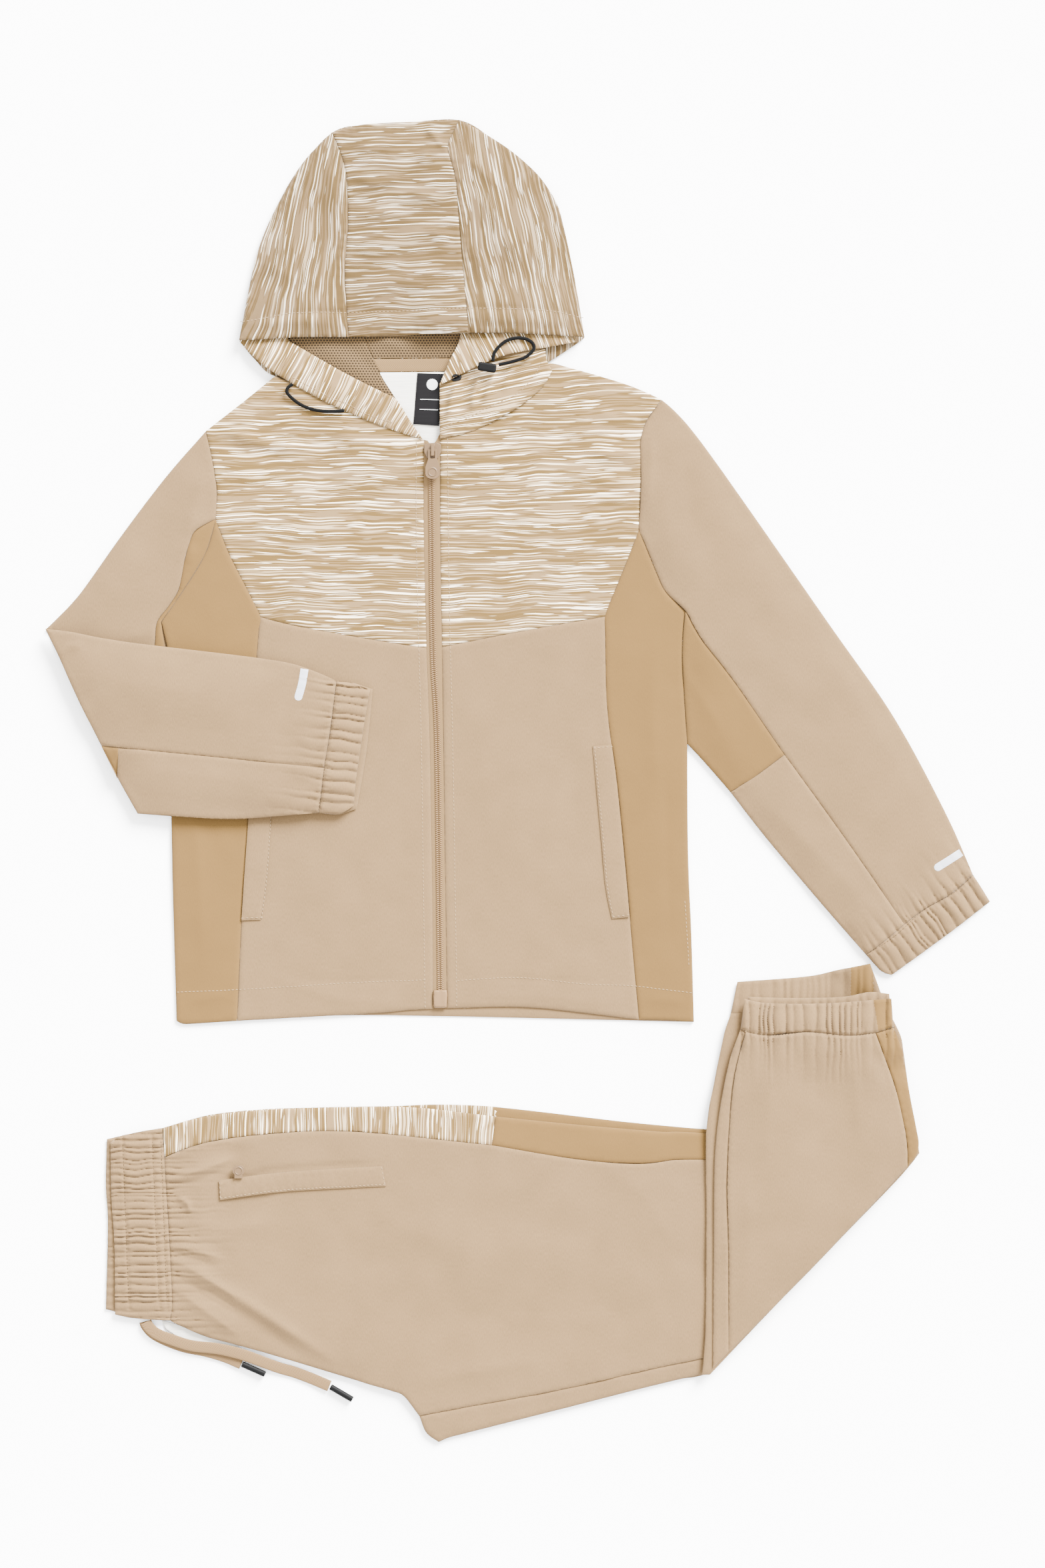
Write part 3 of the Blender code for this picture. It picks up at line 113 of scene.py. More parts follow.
def swept_cord(name, route, wide, thick, step, sides, look):
    """A cord of an oval section along its route, with a map along and round it, and its middle line."""
    middle = smooth_line(route, step)
    ahead = np.gradient(middle, axis=0)
    ahead /= np.linalg.norm(ahead, axis=1)[:, None]
    across = np.cross(ahead, (0, 0, 1))
    across /= np.linalg.norm(across, axis=1)[:, None]
    up = np.cross(across, ahead)
    turns = np.arange(sides) / sides * 2 * math.pi
    squareness = 0.55 if wide > 2 * thick else 1.0
    flat = np.sign(np.cos(turns)) * np.abs(np.cos(turns)) ** squareness * wide / 2
    rise = np.sign(np.sin(turns)) * np.abs(np.sin(turns)) ** squareness * thick / 2
    rings = middle[:, None] + flat[None, :, None] * across[:, None] + rise[None, :, None] * up[:, None]
    count = len(middle)
    faces = []
    for i in range(count - 1):
        for k in range(sides):
            n = (k + 1) % sides
            faces.append((i * sides + k, i * sides + n, (i + 1) * sides + n, (i + 1) * sides + k))
    faces.append(tuple(range(sides))[::-1])
    faces.append(tuple((count - 1) * sides + k for k in range(sides)))
    mesh = bpy.data.meshes.new(name)
    mesh.from_pydata((rings.reshape(-1, 3) * MM).tolist(), [], faces)
    run = np.concatenate([[0], np.cumsum(np.linalg.norm(np.diff(middle, axis=0), axis=1))])
    places = mesh.uv_layers.new(name="along_cord").data
    for face in mesh.polygons:
        for corner in face.loop_indices:
            spot = mesh.loops[corner].vertex_index
            places[corner].uv = (run[spot // sides], flat[spot % sides])
    mesh.shade_smooth()
    return shown(name, mesh, look), middle, float(run[-1])


def add_node(tree, kind, inputs=None, **settings):
    """A node with its settings made and its inputs joined or filled."""
    node = tree.nodes.new(kind)
    for key, value in settings.items():
        setattr(node, key, value)
    for key, value in (inputs or {}).items():
        if isinstance(value, bpy.types.NodeSocket):
            tree.links.new(value, node.inputs[key])
        else:
            node.inputs[key].default_value = value
    return node


def sum_of(tree, operation, first, second, third=None):
    """The result of a Math node."""
    values = {0: first, 1: second}
    if third is not None:
        values[2] = third
    return add_node(tree, "ShaderNodeMath", values, operation=operation).outputs[0]


def blended(tree, share, first, second, kind="MIX"):
    """The colour between two colours, or one blended with the other."""
    node = add_node(tree, "ShaderNodeMix", data_type="RGBA", blend_type=kind)
    for index, value in ((0, share), (6, first), (7, second)):
        if isinstance(value, bpy.types.NodeSocket):
            tree.links.new(value, node.inputs[index])
        elif index == 0:
            node.inputs[0].default_value = value
        else:
            node.inputs[index].default_value = (*value[:3], 1)
    return node.outputs[2]


def new_look(name, rough, sheen=0.0, specular=0.3):
    """A material with its plain settings made, and its node tree and shader."""
    look = bpy.data.materials.new(name)
    look.use_nodes = True
    shader = look.node_tree.nodes["Principled BSDF"]
    shader.inputs["Roughness"].default_value = rough
    shader.inputs["Sheen Weight"].default_value = sheen
    shader.inputs["Sheen Roughness"].default_value = 0.45
    shader.inputs["Specular IOR Level"].default_value = specular
    return look, look.node_tree, shader


def raised_by(tree, shader, height, strength, distance):
    """Gives the shader a bump of this height field, distance in millimetres."""
    bump = add_node(tree, "ShaderNodeBump", {"Height": height, "Strength": strength,
                                             "Distance": distance * MM})
    tree.links.new(bump.outputs[0], shader.inputs["Normal"])


def braided(name, colour, rib, across):
    """A woven or braided cord: slanting ribs that meet along its middle."""
    look, tree, shader = new_look(name, 0.85, 0.02, specular=0.03)
    places = add_node(tree, "ShaderNodeUVMap", uv_map="along_cord").outputs[0]
    parts = add_node(tree, "ShaderNodeSeparateXYZ", {0: places})
    lean = sum_of(tree, "ABSOLUTE", parts.outputs[1], 0)
    phase = sum_of(tree, "MULTIPLY_ADD", lean, across, parts.outputs[0])
    ribs = sum_of(tree, "SINE", sum_of(tree, "MULTIPLY", phase, 2 * math.pi / rib), 0)
    lines = sum_of(tree, "SINE", sum_of(tree, "MULTIPLY", parts.outputs[1], 2 * math.pi / 0.9), 0)
    weave = sum_of(tree, "MULTIPLY_ADD", lines, 0.35, ribs)
    share = add_node(tree, "ShaderNodeMapRange", {0: weave, 1: -1.3, 2: 1.3, 3: 0.0, 4: 1.0}).outputs[0]
    dark = tuple(c * 0.84 for c in colour)
    tree.links.new(blended(tree, share, dark, colour), shader.inputs["Base Color"])
    raised_by(tree, shader, share, 0.7, 0.3)
    return look


string_look = braided("drawstring_weave", STRING_COLOUR, 1.5, 0.9)
tip_look, tip_tree, tip_shader = new_look("moulded_black", 0.5, specular=0.03)
tip_grain = add_node(tip_tree, "ShaderNodeTexNoise", {"Scale": 900.0, "Detail": 3.0})
tip_shade = blended(tip_tree, tip_grain.outputs[0], (0.002, 0.002, 0.002), (0.004, 0.004, 0.004))
tip_tree.links.new(tip_shade, tip_shader.inputs["Base Color"])
raised_by(tip_tree, tip_shader, tip_grain.outputs[0], 0.15, 0.05)
for node in ("drawstring_a", "drawstring_b"):
    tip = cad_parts[node.replace("string", "string_tip")]
    for place in tip.material_slots:
        place.material = tip_look
    piece, middle, long = swept_cord(node + "_cord", STRING_ROUTES[node], STRING["width"],
                                     STRING["thick"], STRING["step"], 20, string_look)
    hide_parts(node)
    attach(piece, "garment")

# The hood's elastic: a thin black braided cord that runs in the hood's casing and shows as a loop at
# each side of the neck. The right loop passes through the moulded barrel lock.
ELASTIC = dict(thick=2.7, step=0.8)
ELASTIC_ROUTES = dict(
    hood_elastic_left=((-178.4, 314.6, 9.1), (-182, 312, 9.1), (-182.9, 308.3, 9.0),
                       (-179.4, 304, 8.1), (-172, 298.5, 7.9), (-162.6, 294.7, 8.1),
                       (-151.5, 293.0, 9.1), (-142, 293.2, 9.1), (-137.4, 293.6, 9.1)),
    hood_elastic_right=((-19.5, 332.6, 12.2), (-17.4, 340.5, 12.0), (-10, 348.0, 11.8),
                        (-1.7, 350.9, 11.4), (6.7, 350.4, 11.1), (12.5, 346.7, 11.1),
                        (12.9, 341.7, 11.1), (6.7, 336, 11.1), (-1.7, 333, 11.2),
                        (-10, 330.8, 11.8), (-14.6, 329.8, 12.2)),
)
elastic_look = braided("elastic_braid", (0.0024, 0.0024, 0.0024), 1.1, 0.8)
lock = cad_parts["cord_lock"]
for place in lock.material_slots:
    place.material = tip_look
for node, route in ELASTIC_ROUTES.items():
    piece, middle, long = swept_cord(node + "_cord", route, ELASTIC["thick"], ELASTIC["thick"],
                                     ELASTIC["step"], 10, elastic_look)
    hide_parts(node)
    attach(piece, "garment")

# The jacket's back and the backs of its sleeves: beige stretch woven cloth, face down on the floor,
# so only their hem and edges show from above. Each panel is cut along its seams and pressed flat.
BEIGE = (0.0935, 0.0572, 0.0260)
HIDDEN_STEP = 5.0


def upper_side(node):
    """The corner points of a CAD piece in millimetres, and the triangles of its upper side."""
    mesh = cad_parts[node].data
    mesh.calc_loop_triangles()
    corners = np.empty(len(mesh.vertices) * 3)
    mesh.vertices.foreach_get("co", corners)
    faces = np.empty(len(mesh.loop_triangles) * 3, int)
    mesh.loop_triangles.foreach_get("vertices", faces)
    spots, index = np.unique(np.round(corners.reshape(-1, 3) / MM, 3), axis=0, return_inverse=True)
    faces = index.reshape(-1)[faces].reshape(-1, 3)
    a, b, c = (spots[faces[:, k]] for k in range(3))
    normal = np.cross(b - a, c - a)
    return spots, faces[normal[:, 2] > 0.15 * np.linalg.norm(normal, axis=1)]


def rim_of(spots, faces):
    """The outline of an upper side, as a closed loop of its points."""
    sides = {(int(f[k]), int(f[(k + 1) % 3])) for f in faces for k in range(3)}
    after = {a: b for a, b in sides if (b, a) not in sides}
    loops = []
    while after:
        loop = [next(iter(after))]
        while loop[-1] in after:
            loop.append(after.pop(loop[-1]))
        loops.append(loop[:-1])
    return spots[max(loops, key=len)][:, :2]


def smooth_outline(points, step):
    """The closed outline drawn through the points as curves between its corners, evenly spaced."""
    ahead = np.roll(points, -1, 0) - points
    back = points - np.roll(points, 1, 0)
    turn = np.arctan2(back[:, 0] * ahead[:, 1] - back[:, 1] * ahead[:, 0], (back * ahead).sum(1))
    corners = np.where(np.abs(turn) > math.radians(35))[0]
    if len(corners) == 0:
        corners = np.array([0])
    out = []
    for i, start in enumerate(corners):
        end = corners[(i + 1) % len(corners)]
        count = (end - start) % len(points) or len(points)
        run = points[(start + np.arange(count + 1)) % len(points)]
        line = smooth_line(run, 1.0)
        far = np.concatenate([[0], np.cumsum(np.linalg.norm(np.diff(line, axis=0), axis=1))])
        even = np.linspace(0, far[-1], max(2, round(far[-1] / step) + 1))[:-1]
        out.append(np.stack([np.interp(even, far, line[:, k]) for k in (0, 1)], 1))
    return np.vstack(out)


def moved_in(outline, by):
    """The counterclockwise outline moved in by the same distance all round."""
    ahead = np.roll(outline, -1, 0) - outline
    ahead /= np.maximum(np.linalg.norm(ahead, axis=1), 1e-9)[:, None]
    behind = np.roll(ahead, 1, 0)
    normal = np.stack([-(ahead + behind)[:, 1], (ahead + behind)[:, 0]], 1)
    normal /= np.maximum(np.linalg.norm(normal, axis=1), 1e-6)[:, None]
    lean = np.clip((normal * np.stack([-ahead[:, 1], ahead[:, 0]], 1)).sum(1), 0.6, 1)
    return outline + normal * (by / lean)[:, None]


def within(points, outline):
    """Which points lie in the outline."""
    found = np.zeros(len(points), bool)
    for (ax, ay), (bx, by) in zip(outline, np.roll(outline, -1, 0)):
        if ay != by:
            x, y = points[:, 0], points[:, 1]
            found ^= ((ay > y) != (by > y)) & (x < (bx - ax) * (y - ay) / (by - ay) + ax)
    return found


def nearest_on(points, line):
    """How far each point is from a line, and how far along the line its nearest point lies."""
    best = np.full(len(points), np.inf)
    place = np.zeros(len(points))
    run = 0.0
    for a, b in zip(line, line[1:]):
        d = b - a
        long = float(np.linalg.norm(d))
        t = np.clip(((points - a) @ d) / max(long**2, 1e-9), 0, 1)
        off = np.linalg.norm(points - a - t[:, None] * d, axis=1)
        closer = off < best
        best[closer] = off[closer]
        place[closer] = run + t[closer] * long
        run += long
    return best, place, run


def uneven(points, size, seed):
    """Soft random heights, about a size apart, from -1 to 1."""
    shift = Vector((seed * 13.7, seed * 5.3, seed * 2.1))
    return np.array([noise.noise(Vector((x / size, y / size, 0)) + shift) for x, y in points])


def creased(points, route, height, width):
    """A fold along a route: a ridge, or a trough where the height is below nought."""
    off, place, long = nearest_on(points, smooth_line(route, 6.0))
    share = place / long
    ends = np.clip(np.minimum(share, 1 - share) * 3.5 + 0.05, 0, 1)
    return height * ends * np.exp(-((off / width) ** 1.4))


laid = {}


def even_net(low, high, step):
    """Points of an even triangular net over a box."""
    rows = [np.stack([x, np.full(len(x), y)], 1)
            for j, y in enumerate(np.arange(low[1], high[1], step * 0.87))
            for x in [np.arange(low[0] + step * 0.5 * (j % 2), high[0], step)]]
    return np.vstack(rows)


def lay(node, look, wall=1.5, step=2.8, relief=None, roll=0.8, puckers=0.1, waves=0.3,
        soften=14, full=1.0, fine=None, flow=None,
        grow=0.12):
    """Cloth in place of a CAD piece: the piece's own outline and lie, with the small folds added.
    Rows of stitching pull puckers along its edge. full is how much longer the gathered cut is, fine is
    a line, a reach and a step for a closer net, flow is the run of a print as degrees and bend, and
    grow is how far the edge goes under the next piece."""
    spots, faces = upper_side(node)
    outline = smooth_outline(rim_of(spots, faces), min(step, fine[2] if fine else step))
    outline = moved_in(outline, -grow)
    low, high = outline.min(0), outline.max(0)
    closed = np.vstack([outline, outline[:1]])
    net = even_net(low, high, step)
    net = net[within(net, outline)]
    if fine:
        line, reach, close = fine
        line = np.array(line, float)
        net = net[nearest_on(net, line)[0] > reach]
        closer = even_net(line.min(0) - reach, line.max(0) + reach, close)
        closer = closer[within(closer, outline)]
        net = np.vstack([net, closer[nearest_on(closer, line)[0] < reach]])
    net = net[nearest_on(net, closed)[0] > 2.0 + 0.35 * (fine[2] if fine else step)]
    rings = [moved_in(outline, 0.7), moved_in(outline, 2.0)]
    for k, ring in enumerate(rings):
        ring = ring[within(ring, outline)]
        rings[k] = ring[nearest_on(ring, closed)[0] > (0.5, 1.6)[k]]
    flat = np.vstack([outline, *rings, net])
    rim = len(outline)
    made = delaunay_2d_cdt([Vector(p) for p in flat], [(i, (i + 1) % rim) for i in range(rim)], [], 1,
                           1e-5)
    flat = np.array([tuple(v) for v in made[0]])
    cells = np.array(made[2])
    turn = np.cross(flat[cells[:, 1]] - flat[cells[:, 0]], flat[cells[:, 2]] - flat[cells[:, 0]])
    cells = cells[np.abs(turn) > 1e-6]
    turn = turn[np.abs(turn) > 1e-6]
    cells[turn < 0] = cells[turn < 0][:, ::-1]
    tree = BVHTree.FromPolygons([Vector(p) for p in spots], [tuple(int(i) for i in f) for f in faces])
    height = np.empty(len(flat))
    for i, (x, y) in enumerate(flat):
        hit = tree.ray_cast(Vector((x, y, 500)), Vector((0, 0, -1)))[0]
        height[i] = (hit or tree.find_nearest(Vector((x, y, 8)))[0]).z
    sides = np.vstack([cells[:, [0, 1]], cells[:, [1, 2]], cells[:, [2, 0]]])
    both = np.vstack([sides, sides[:, ::-1]])
    count = np.bincount(both[:, 0], minlength=len(flat)).clip(1)
    for _ in range(soften):
        height += 0.6 * (np.bincount(both[:, 0], height[both[:, 1]], len(flat)) / count - height)
    lie = height.copy()
    off, place, _ = nearest_on(flat, closed)
    if puckers:
        wave = np.sin(place * 0.9 + 3 * uneven(flat, 22, 3)) * (0.6 + 0.6 * uneven(flat, 30, 7))
        height += puckers * wave * np.exp(-((off / 6.0) ** 2)) * np.clip(off / 1.5, 0, 1)
    if waves:
        height += waves * uneven(flat, 55, 1) + 0.35 * waves * uneven(flat, 17, 2)
    if relief:
        height += relief(flat, off)
    height = np.maximum(height, lie - wall + 0.5)
    height -= roll * np.exp(-((off / 0.9) ** 2))
    under = np.maximum(height - wall + roll * np.exp(-((off / 0.9) ** 2)), 0.0)
    under = np.minimum(under, height - 0.25)
    points = np.vstack([np.column_stack([flat, height]), np.column_stack([flat, under])])
    pairs = {(int(a), int(b)) for a, b in sides}
    rim_sides = [(a, b) for a, b in pairs if (b, a) not in pairs]
    shell = [tuple(int(i) for i in f) for f in cells]
    shell += [tuple(int(i) + len(flat) for i in f[::-1]) for f in cells]
    shell += [(b, a, a + len(flat), b + len(flat)) for a, b in rim_sides]
    mesh = bpy.data.meshes.new(node + "_cloth")
    mesh.from_pydata((points * MM).tolist(), [], shell)
    mesh.shade_smooth()
    mesh.set_sharp_from_angle(angle=math.radians(62))
    if flow:
        turn, bend = math.radians(flow[0]), flow[1]
        middle = (low + high) / 2
        x, y = (points[:, 0] - middle[0]), (points[:, 1] - middle[1])
        run = x * math.cos(turn) + y * math.sin(turn)
        over = -x * math.sin(turn) + y * math.cos(turn) + bend * run * (
            -x * math.sin(turn) + y * math.cos(turn)) + 1.2 * uneven(points[:, :2], 34, 5)
        corners = np.empty(len(mesh.loops), int)
        mesh.loops.foreach_get("vertex_index", corners)
        spread = np.column_stack([run, over])[corners]
        mesh.uv_layers.new(name="print_run").data.foreach_set("uv", spread.reshape(-1))
    piece = shown(node + "_cloth", mesh, look)
    laid[node] = BVHTree.FromPolygons([Vector(p) for p in points], shell[:len(cells)])
    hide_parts(node)
    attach(piece, "garment")
    after = np.roll(outline, -1, 0)
    area = full * abs((outline[:, 0] * after[:, 1] - after[:, 0] * outline[:, 1]).sum()) / 2
    cuts = []
    for turn in np.radians(np.arange(0, 90, 3)):
        along = outline @ np.array([[math.cos(turn), -math.sin(turn)], [math.sin(turn), math.cos(turn)]])
        cuts.append(sorted(along.max(0) - along.min(0)))
    wide, long = min(cuts, key=math.prod)
    long *= full
    wide = max(min(wide, area / (0.6 * long)), 10.5)
    return piece


def woven(name, colour, contrast=0.16):
    """Plain woven cloth: fine crossing threads, a little uneven in colour and surface."""
    look, tree, shader = new_look(name, 0.88, 0.12, specular=0.06)
    place = add_node(tree, "ShaderNodeTexCoord").outputs["Object"]
    thread = 0.55 * MM
    heights = []
    for turn, seed in ((0.0, 0.0), (math.pi / 2, 3.0)):
        mapped = add_node(tree, "ShaderNodeMapping", {0: place, 1: (seed, 0, 0), 2: (0, 0, turn),
                                                      3: (1 / thread, 0.22 / thread, 1)})
        heights.append(add_node(tree, "ShaderNodeTexNoise", {"Vector": mapped.outputs[0], "Scale": 1.0,
                                                             "Detail": 1.0}).outputs[0])
    threads = sum_of(tree, "ADD", heights[0], heights[1])
    patch = add_node(tree, "ShaderNodeTexNoise", {"Vector": place, "Scale": 38.0, "Detail": 3.0})
    share = sum_of(tree, "MULTIPLY_ADD", sum_of(tree, "SUBTRACT", threads, 1.0), contrast * 6,
                   sum_of(tree, "MULTIPLY_ADD", sum_of(tree, "SUBTRACT", patch.outputs[0], 0.5), 0.7,
                          0.5))
    dark = tuple(c * (1 - contrast) for c in colour)
    pale = tuple(min(1, c * (1 + contrast)) for c in colour)
    tree.links.new(blended(tree, share, dark, pale), shader.inputs["Base Color"])
    lumps = add_node(tree, "ShaderNodeTexNoise", {"Vector": place, "Scale": 190.0, "Detail": 2.0})
    relief = sum_of(tree, "MULTIPLY_ADD", lumps.outputs[0], 1.6, threads)
    raised_by(tree, shader, relief, 0.35, 0.12)
    return look


beige_look = woven("beige_cloth", BEIGE)
BACKS = (
    # node, what it rests on
    ("jacket_back", ()),
    ("sleeve_left_back", ()),
    ("sleeve_right_back", ()),
)
for node, under in BACKS:
    lay(node, beige_look, step=HIDDEN_STEP, puckers=0, waves=0, soften=2, roll=0.5)

# The lining seen in the neck: white slub cloth over the jacket's back, perforated beige mesh in the
# hood, and a woven herringbone tape over the seam between them. All are sewn in at the neck.
LINING = (0.50, 0.48, 0.43)
MESH = (0.068, 0.0415, 0.0175)
TAPE = (0.104, 0.0625, 0.0262)
HOLES = dict(pitch=2.4, size=0.34)
LINING_PIECES = (
    # node, look, folds as (route, height, width)
    ("back_lining", "lining", (((-104, 300), (-72, 292), 0.5, 6), ((-98, 285), (-66, 283), 0.4, 4))),
    ("neck_tape", "tape", ()),
    ("hood_lining_back", "mesh", (((-112, 352), (-84, 340), 1.2, 7), ((-70, 354), (-55, 341), 0.9, 6))),
    ("hood_lining_left", "mesh", (((-165, 350), (-112, 318), 1.1, 8), ((-140, 352), (-104, 318), -0.8, 6))),
)


def slubbed(name, colour):
    """Thin lining with uneven threads that run across it."""
    look, tree, shader = new_look(name, 0.9, 0.1, specular=0.06)
    place = add_node(tree, "ShaderNodeTexCoord").outputs["Object"]
    mapped = add_node(tree, "ShaderNodeMapping", {0: place, 3: (45, 900, 1)})
    slubs = add_node(tree, "ShaderNodeTexNoise", {"Vector": mapped.outputs[0], "Scale": 1.0, "Detail": 3.0})
    share = add_node(tree, "ShaderNodeMapRange", {0: slubs.outputs[0], 1: 0.35, 2: 0.62}).outputs[0]
    dark = tuple(c * 0.86 for c in colour)
    tree.links.new(blended(tree, share, dark, colour), shader.inputs["Base Color"])
    raised_by(tree, shader, slubs.outputs[0], 0.5, 0.2)
    return look


def perforated(name, colour, pitch, size):
    """Warp-knitted mesh: holes in rows, each row set over by half a hole; each round hole is painted shade,
    not cut.
    """
    look, tree, shader = new_look(name, 0.85, 0.1, specular=0.06)
    place = add_node(tree, "ShaderNodeTexCoord").outputs["Object"]
    parts = add_node(tree, "ShaderNodeSeparateXYZ", {0: place})
    row = sum_of(tree, "DIVIDE", parts.outputs[1], pitch * 0.86 * MM)
    odd = sum_of(tree, "MULTIPLY", sum_of(tree, "FLOORED_MODULO", sum_of(tree, "FLOOR", row, 0), 2.0), 0.5)
    column = sum_of(tree, "ADD", sum_of(tree, "DIVIDE", parts.outputs[0], pitch * MM), odd)
    x = sum_of(tree, "SUBTRACT", sum_of(tree, "FRACT", column, 0), 0.5)
    y = sum_of(tree, "SUBTRACT", sum_of(tree, "FRACT", row, 0), 0.5)
    far = sum_of(tree, "SQRT", sum_of(tree, "MULTIPLY_ADD", x, x, sum_of(tree, "MULTIPLY", y, y)), 0)
    share = add_node(tree, "ShaderNodeMapRange", {0: far, 1: size - 0.08, 2: size + 0.04}).outputs[0]
    # Painted shade: each hole is darkened to a fifth of the mesh colour.
    dark = tuple(c * 0.2 for c in colour)
    tree.links.new(blended(tree, share, dark, colour), shader.inputs["Base Color"])
    raised_by(tree, shader, share, 0.8, 0.5)
    return look


def herringbone(name, colour, turn, column, rib):
    """Woven tape whose ribs slant one way in one column and the other way in the next."""
    look, tree, shader = new_look(name, 0.85, 0.1, specular=0.06)
    place = add_node(tree, "ShaderNodeTexCoord").outputs["Object"]
    mapped = add_node(tree, "ShaderNodeMapping", {0: place, 2: (0, 0, math.radians(turn))}).outputs[0]
    parts = add_node(tree, "ShaderNodeSeparateXYZ", {0: mapped})
    zig = sum_of(tree, "PINGPONG", parts.outputs[1], column * MM)
    ribs = sum_of(tree, "SINE", sum_of(tree, "MULTIPLY", sum_of(tree, "ADD", parts.outputs[0], zig),
                                       2 * math.pi / (rib * MM)), 0)
    share = add_node(tree, "ShaderNodeMapRange", {0: ribs, 1: -0.9, 2: 0.9}).outputs[0]
    dark = tuple(c * 0.83 for c in colour)
    tree.links.new(blended(tree, share, dark, colour), shader.inputs["Base Color"])
    raised_by(tree, shader, share, 0.6, 0.25)
    return look


lining_looks = dict(
    lining=slubbed("slub_lining", LINING),
    tape=herringbone("neck_herringbone", TAPE, 0, 2.6, 1.5),
    mesh=perforated("hood_mesh", MESH, HOLES["pitch"], HOLES["size"]),
)
for node, look, folds in LINING_PIECES:
    lay(node, lining_looks[look], wall=1.0, step=2.0, roll=0.25, waves=0.3, soften=6,
        relief=lambda at, off, folds=folds: sum(
            (creased(at, (a, b), high, wide) for a, b, high, wide in folds), np.zeros(len(at))))

# The neck label: black satin tape sewn in under the neck seam. A plain pale disc and two thin rules
# are printed on it.
LABEL = (0.0026, 0.0023, 0.0026)
LABEL_PRINT = dict(disc=(-67.6, 314.8), radius=4.4, rules=((-77.0, 303.0), (-77.5, 295.0)), long=14.5,
                   thick=0.34, height=0.25)


def patch_on(name, points, lift, look, nodes, thick=0.3):
    """A thin flat piece that lies on the cloth, from a closed outline or a net of points."""
    outline = np.array(points, float)
    net = even_net(outline.min(0), outline.max(0), 1.2)
    net = net[within(net, outline)]
    closed = np.vstack([outline, outline[:1]])
    net = net[nearest_on(net, closed)[0] > 0.35] if len(net) else net
    flat = np.vstack([outline, net])
    rim = len(outline)
    made = delaunay_2d_cdt([Vector(q) for q in flat], [(i, (i + 1) % rim) for i in range(rim)], [], 1, 1e-5)
    flat = np.array([tuple(v) for v in made[0]])
    cells = np.array(made[2])
    turn = np.cross(flat[cells[:, 1]] - flat[cells[:, 0]], flat[cells[:, 2]] - flat[cells[:, 0]])
    cells[turn < 0] = cells[turn < 0][:, ::-1]
    height = np.maximum([top_at(nodes, x, y) + lift for x, y in flat], thick * 1.6)
    sides = np.vstack([cells[:, [0, 1]], cells[:, [1, 2]], cells[:, [2, 0]]])
    pairs = {(int(a), int(b)) for a, b in sides}
    rim_sides = [(a, b) for a, b in pairs if (b, a) not in pairs]
    height[[a for a, _ in rim_sides]] -= thick * 0.4
    corners = np.vstack([np.column_stack([flat, height]), np.column_stack([flat, height - thick])])
    shell = [tuple(int(i) for i in f) for f in cells]
    shell += [tuple(int(i) + len(flat) for i in f[::-1]) for f in cells]
    shell += [(b, a, a + len(flat), b + len(flat)) for a, b in rim_sides]
    mesh = bpy.data.meshes.new(name)
    mesh.from_pydata((corners * MM).tolist(), [], shell)
    mesh.shade_smooth()
    mesh.set_sharp_from_angle(angle=math.radians(60))
    piece = shown(name, mesh, look)
    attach(piece, "garment")
    return piece


def top_at(nodes, x, y):
    """The height of the topmost of these cloth pieces at a place."""
    hits = [laid[node].ray_cast(Vector((x, y, 500)), Vector((0, 0, -1)))[0] for node in nodes]
    hits = [hit.z for hit in hits if hit]
    if hits:
        return max(hits)
    return max(laid[node].find_nearest(Vector((x, y, 8)))[0].z for node in nodes)


def rounded_bar(start, end, wide, corner=6):
    """The outline of a bar with round ends."""
    start, end = np.array(start, float), np.array(end, float)
    lean = math.atan2(end[1] - start[1], end[0] - start[0])
    points = []
    for middle, first in ((end, lean - math.pi / 2), (start, lean + math.pi / 2)):
        for k in range(corner + 1):
            a = first + math.pi * k / corner
            points.append((middle[0] + wide / 2 * math.cos(a), middle[1] + wide / 2 * math.sin(a)))
    return points


label_look, label_tree, label_shader = new_look("label_satin", 0.5, 0.02, specular=0.05)
label_place = add_node(label_tree, "ShaderNodeTexCoord").outputs["Object"]
label_ribs = add_node(label_tree, "ShaderNodeTexWave",
                      {"Vector": label_place, "Scale": 500.0, "Distortion": 0.4}, bands_direction="Y")
label_shade = blended(label_tree, label_ribs.outputs[1], tuple(c * 0.75 for c in LABEL), LABEL)
label_tree.links.new(label_shade, label_shader.inputs["Base Color"])
raised_by(label_tree, label_shader, label_ribs.outputs[1], 0.3, 0.1)
lay("neck_label", label_look, wall=0.6, step=2.0, roll=0.15, waves=0.15, puckers=0, soften=4)
ink_look, ink_tree, ink_shader = new_look("label_ink", 0.7, specular=0.05)
ink_grain = add_node(ink_tree, "ShaderNodeTexNoise", {"Scale": 2500.0})
ink_shade = blended(ink_tree, ink_grain.outputs[0], (0.35, 0.35, 0.35), (0.5, 0.5, 0.5))
ink_tree.links.new(ink_shade, ink_shader.inputs["Base Color"])
around = np.radians(np.arange(0, 360, 12))
disc = [(LABEL_PRINT["disc"][0] + LABEL_PRINT["radius"] * math.cos(a),
         LABEL_PRINT["disc"][1] + LABEL_PRINT["radius"] * math.sin(a)) for a in around]
patch_on("label_disc", disc, LABEL_PRINT["height"], ink_look, ["neck_label"])
for k, (x, y) in enumerate(LABEL_PRINT["rules"]):
    rule = rounded_bar((x, y), (x + LABEL_PRINT["long"], y - 0.4), LABEL_PRINT["thick"], 2)
    patch_on(f"label_rule_{k}", rule, LABEL_PRINT["height"], ink_look, ["neck_label"])

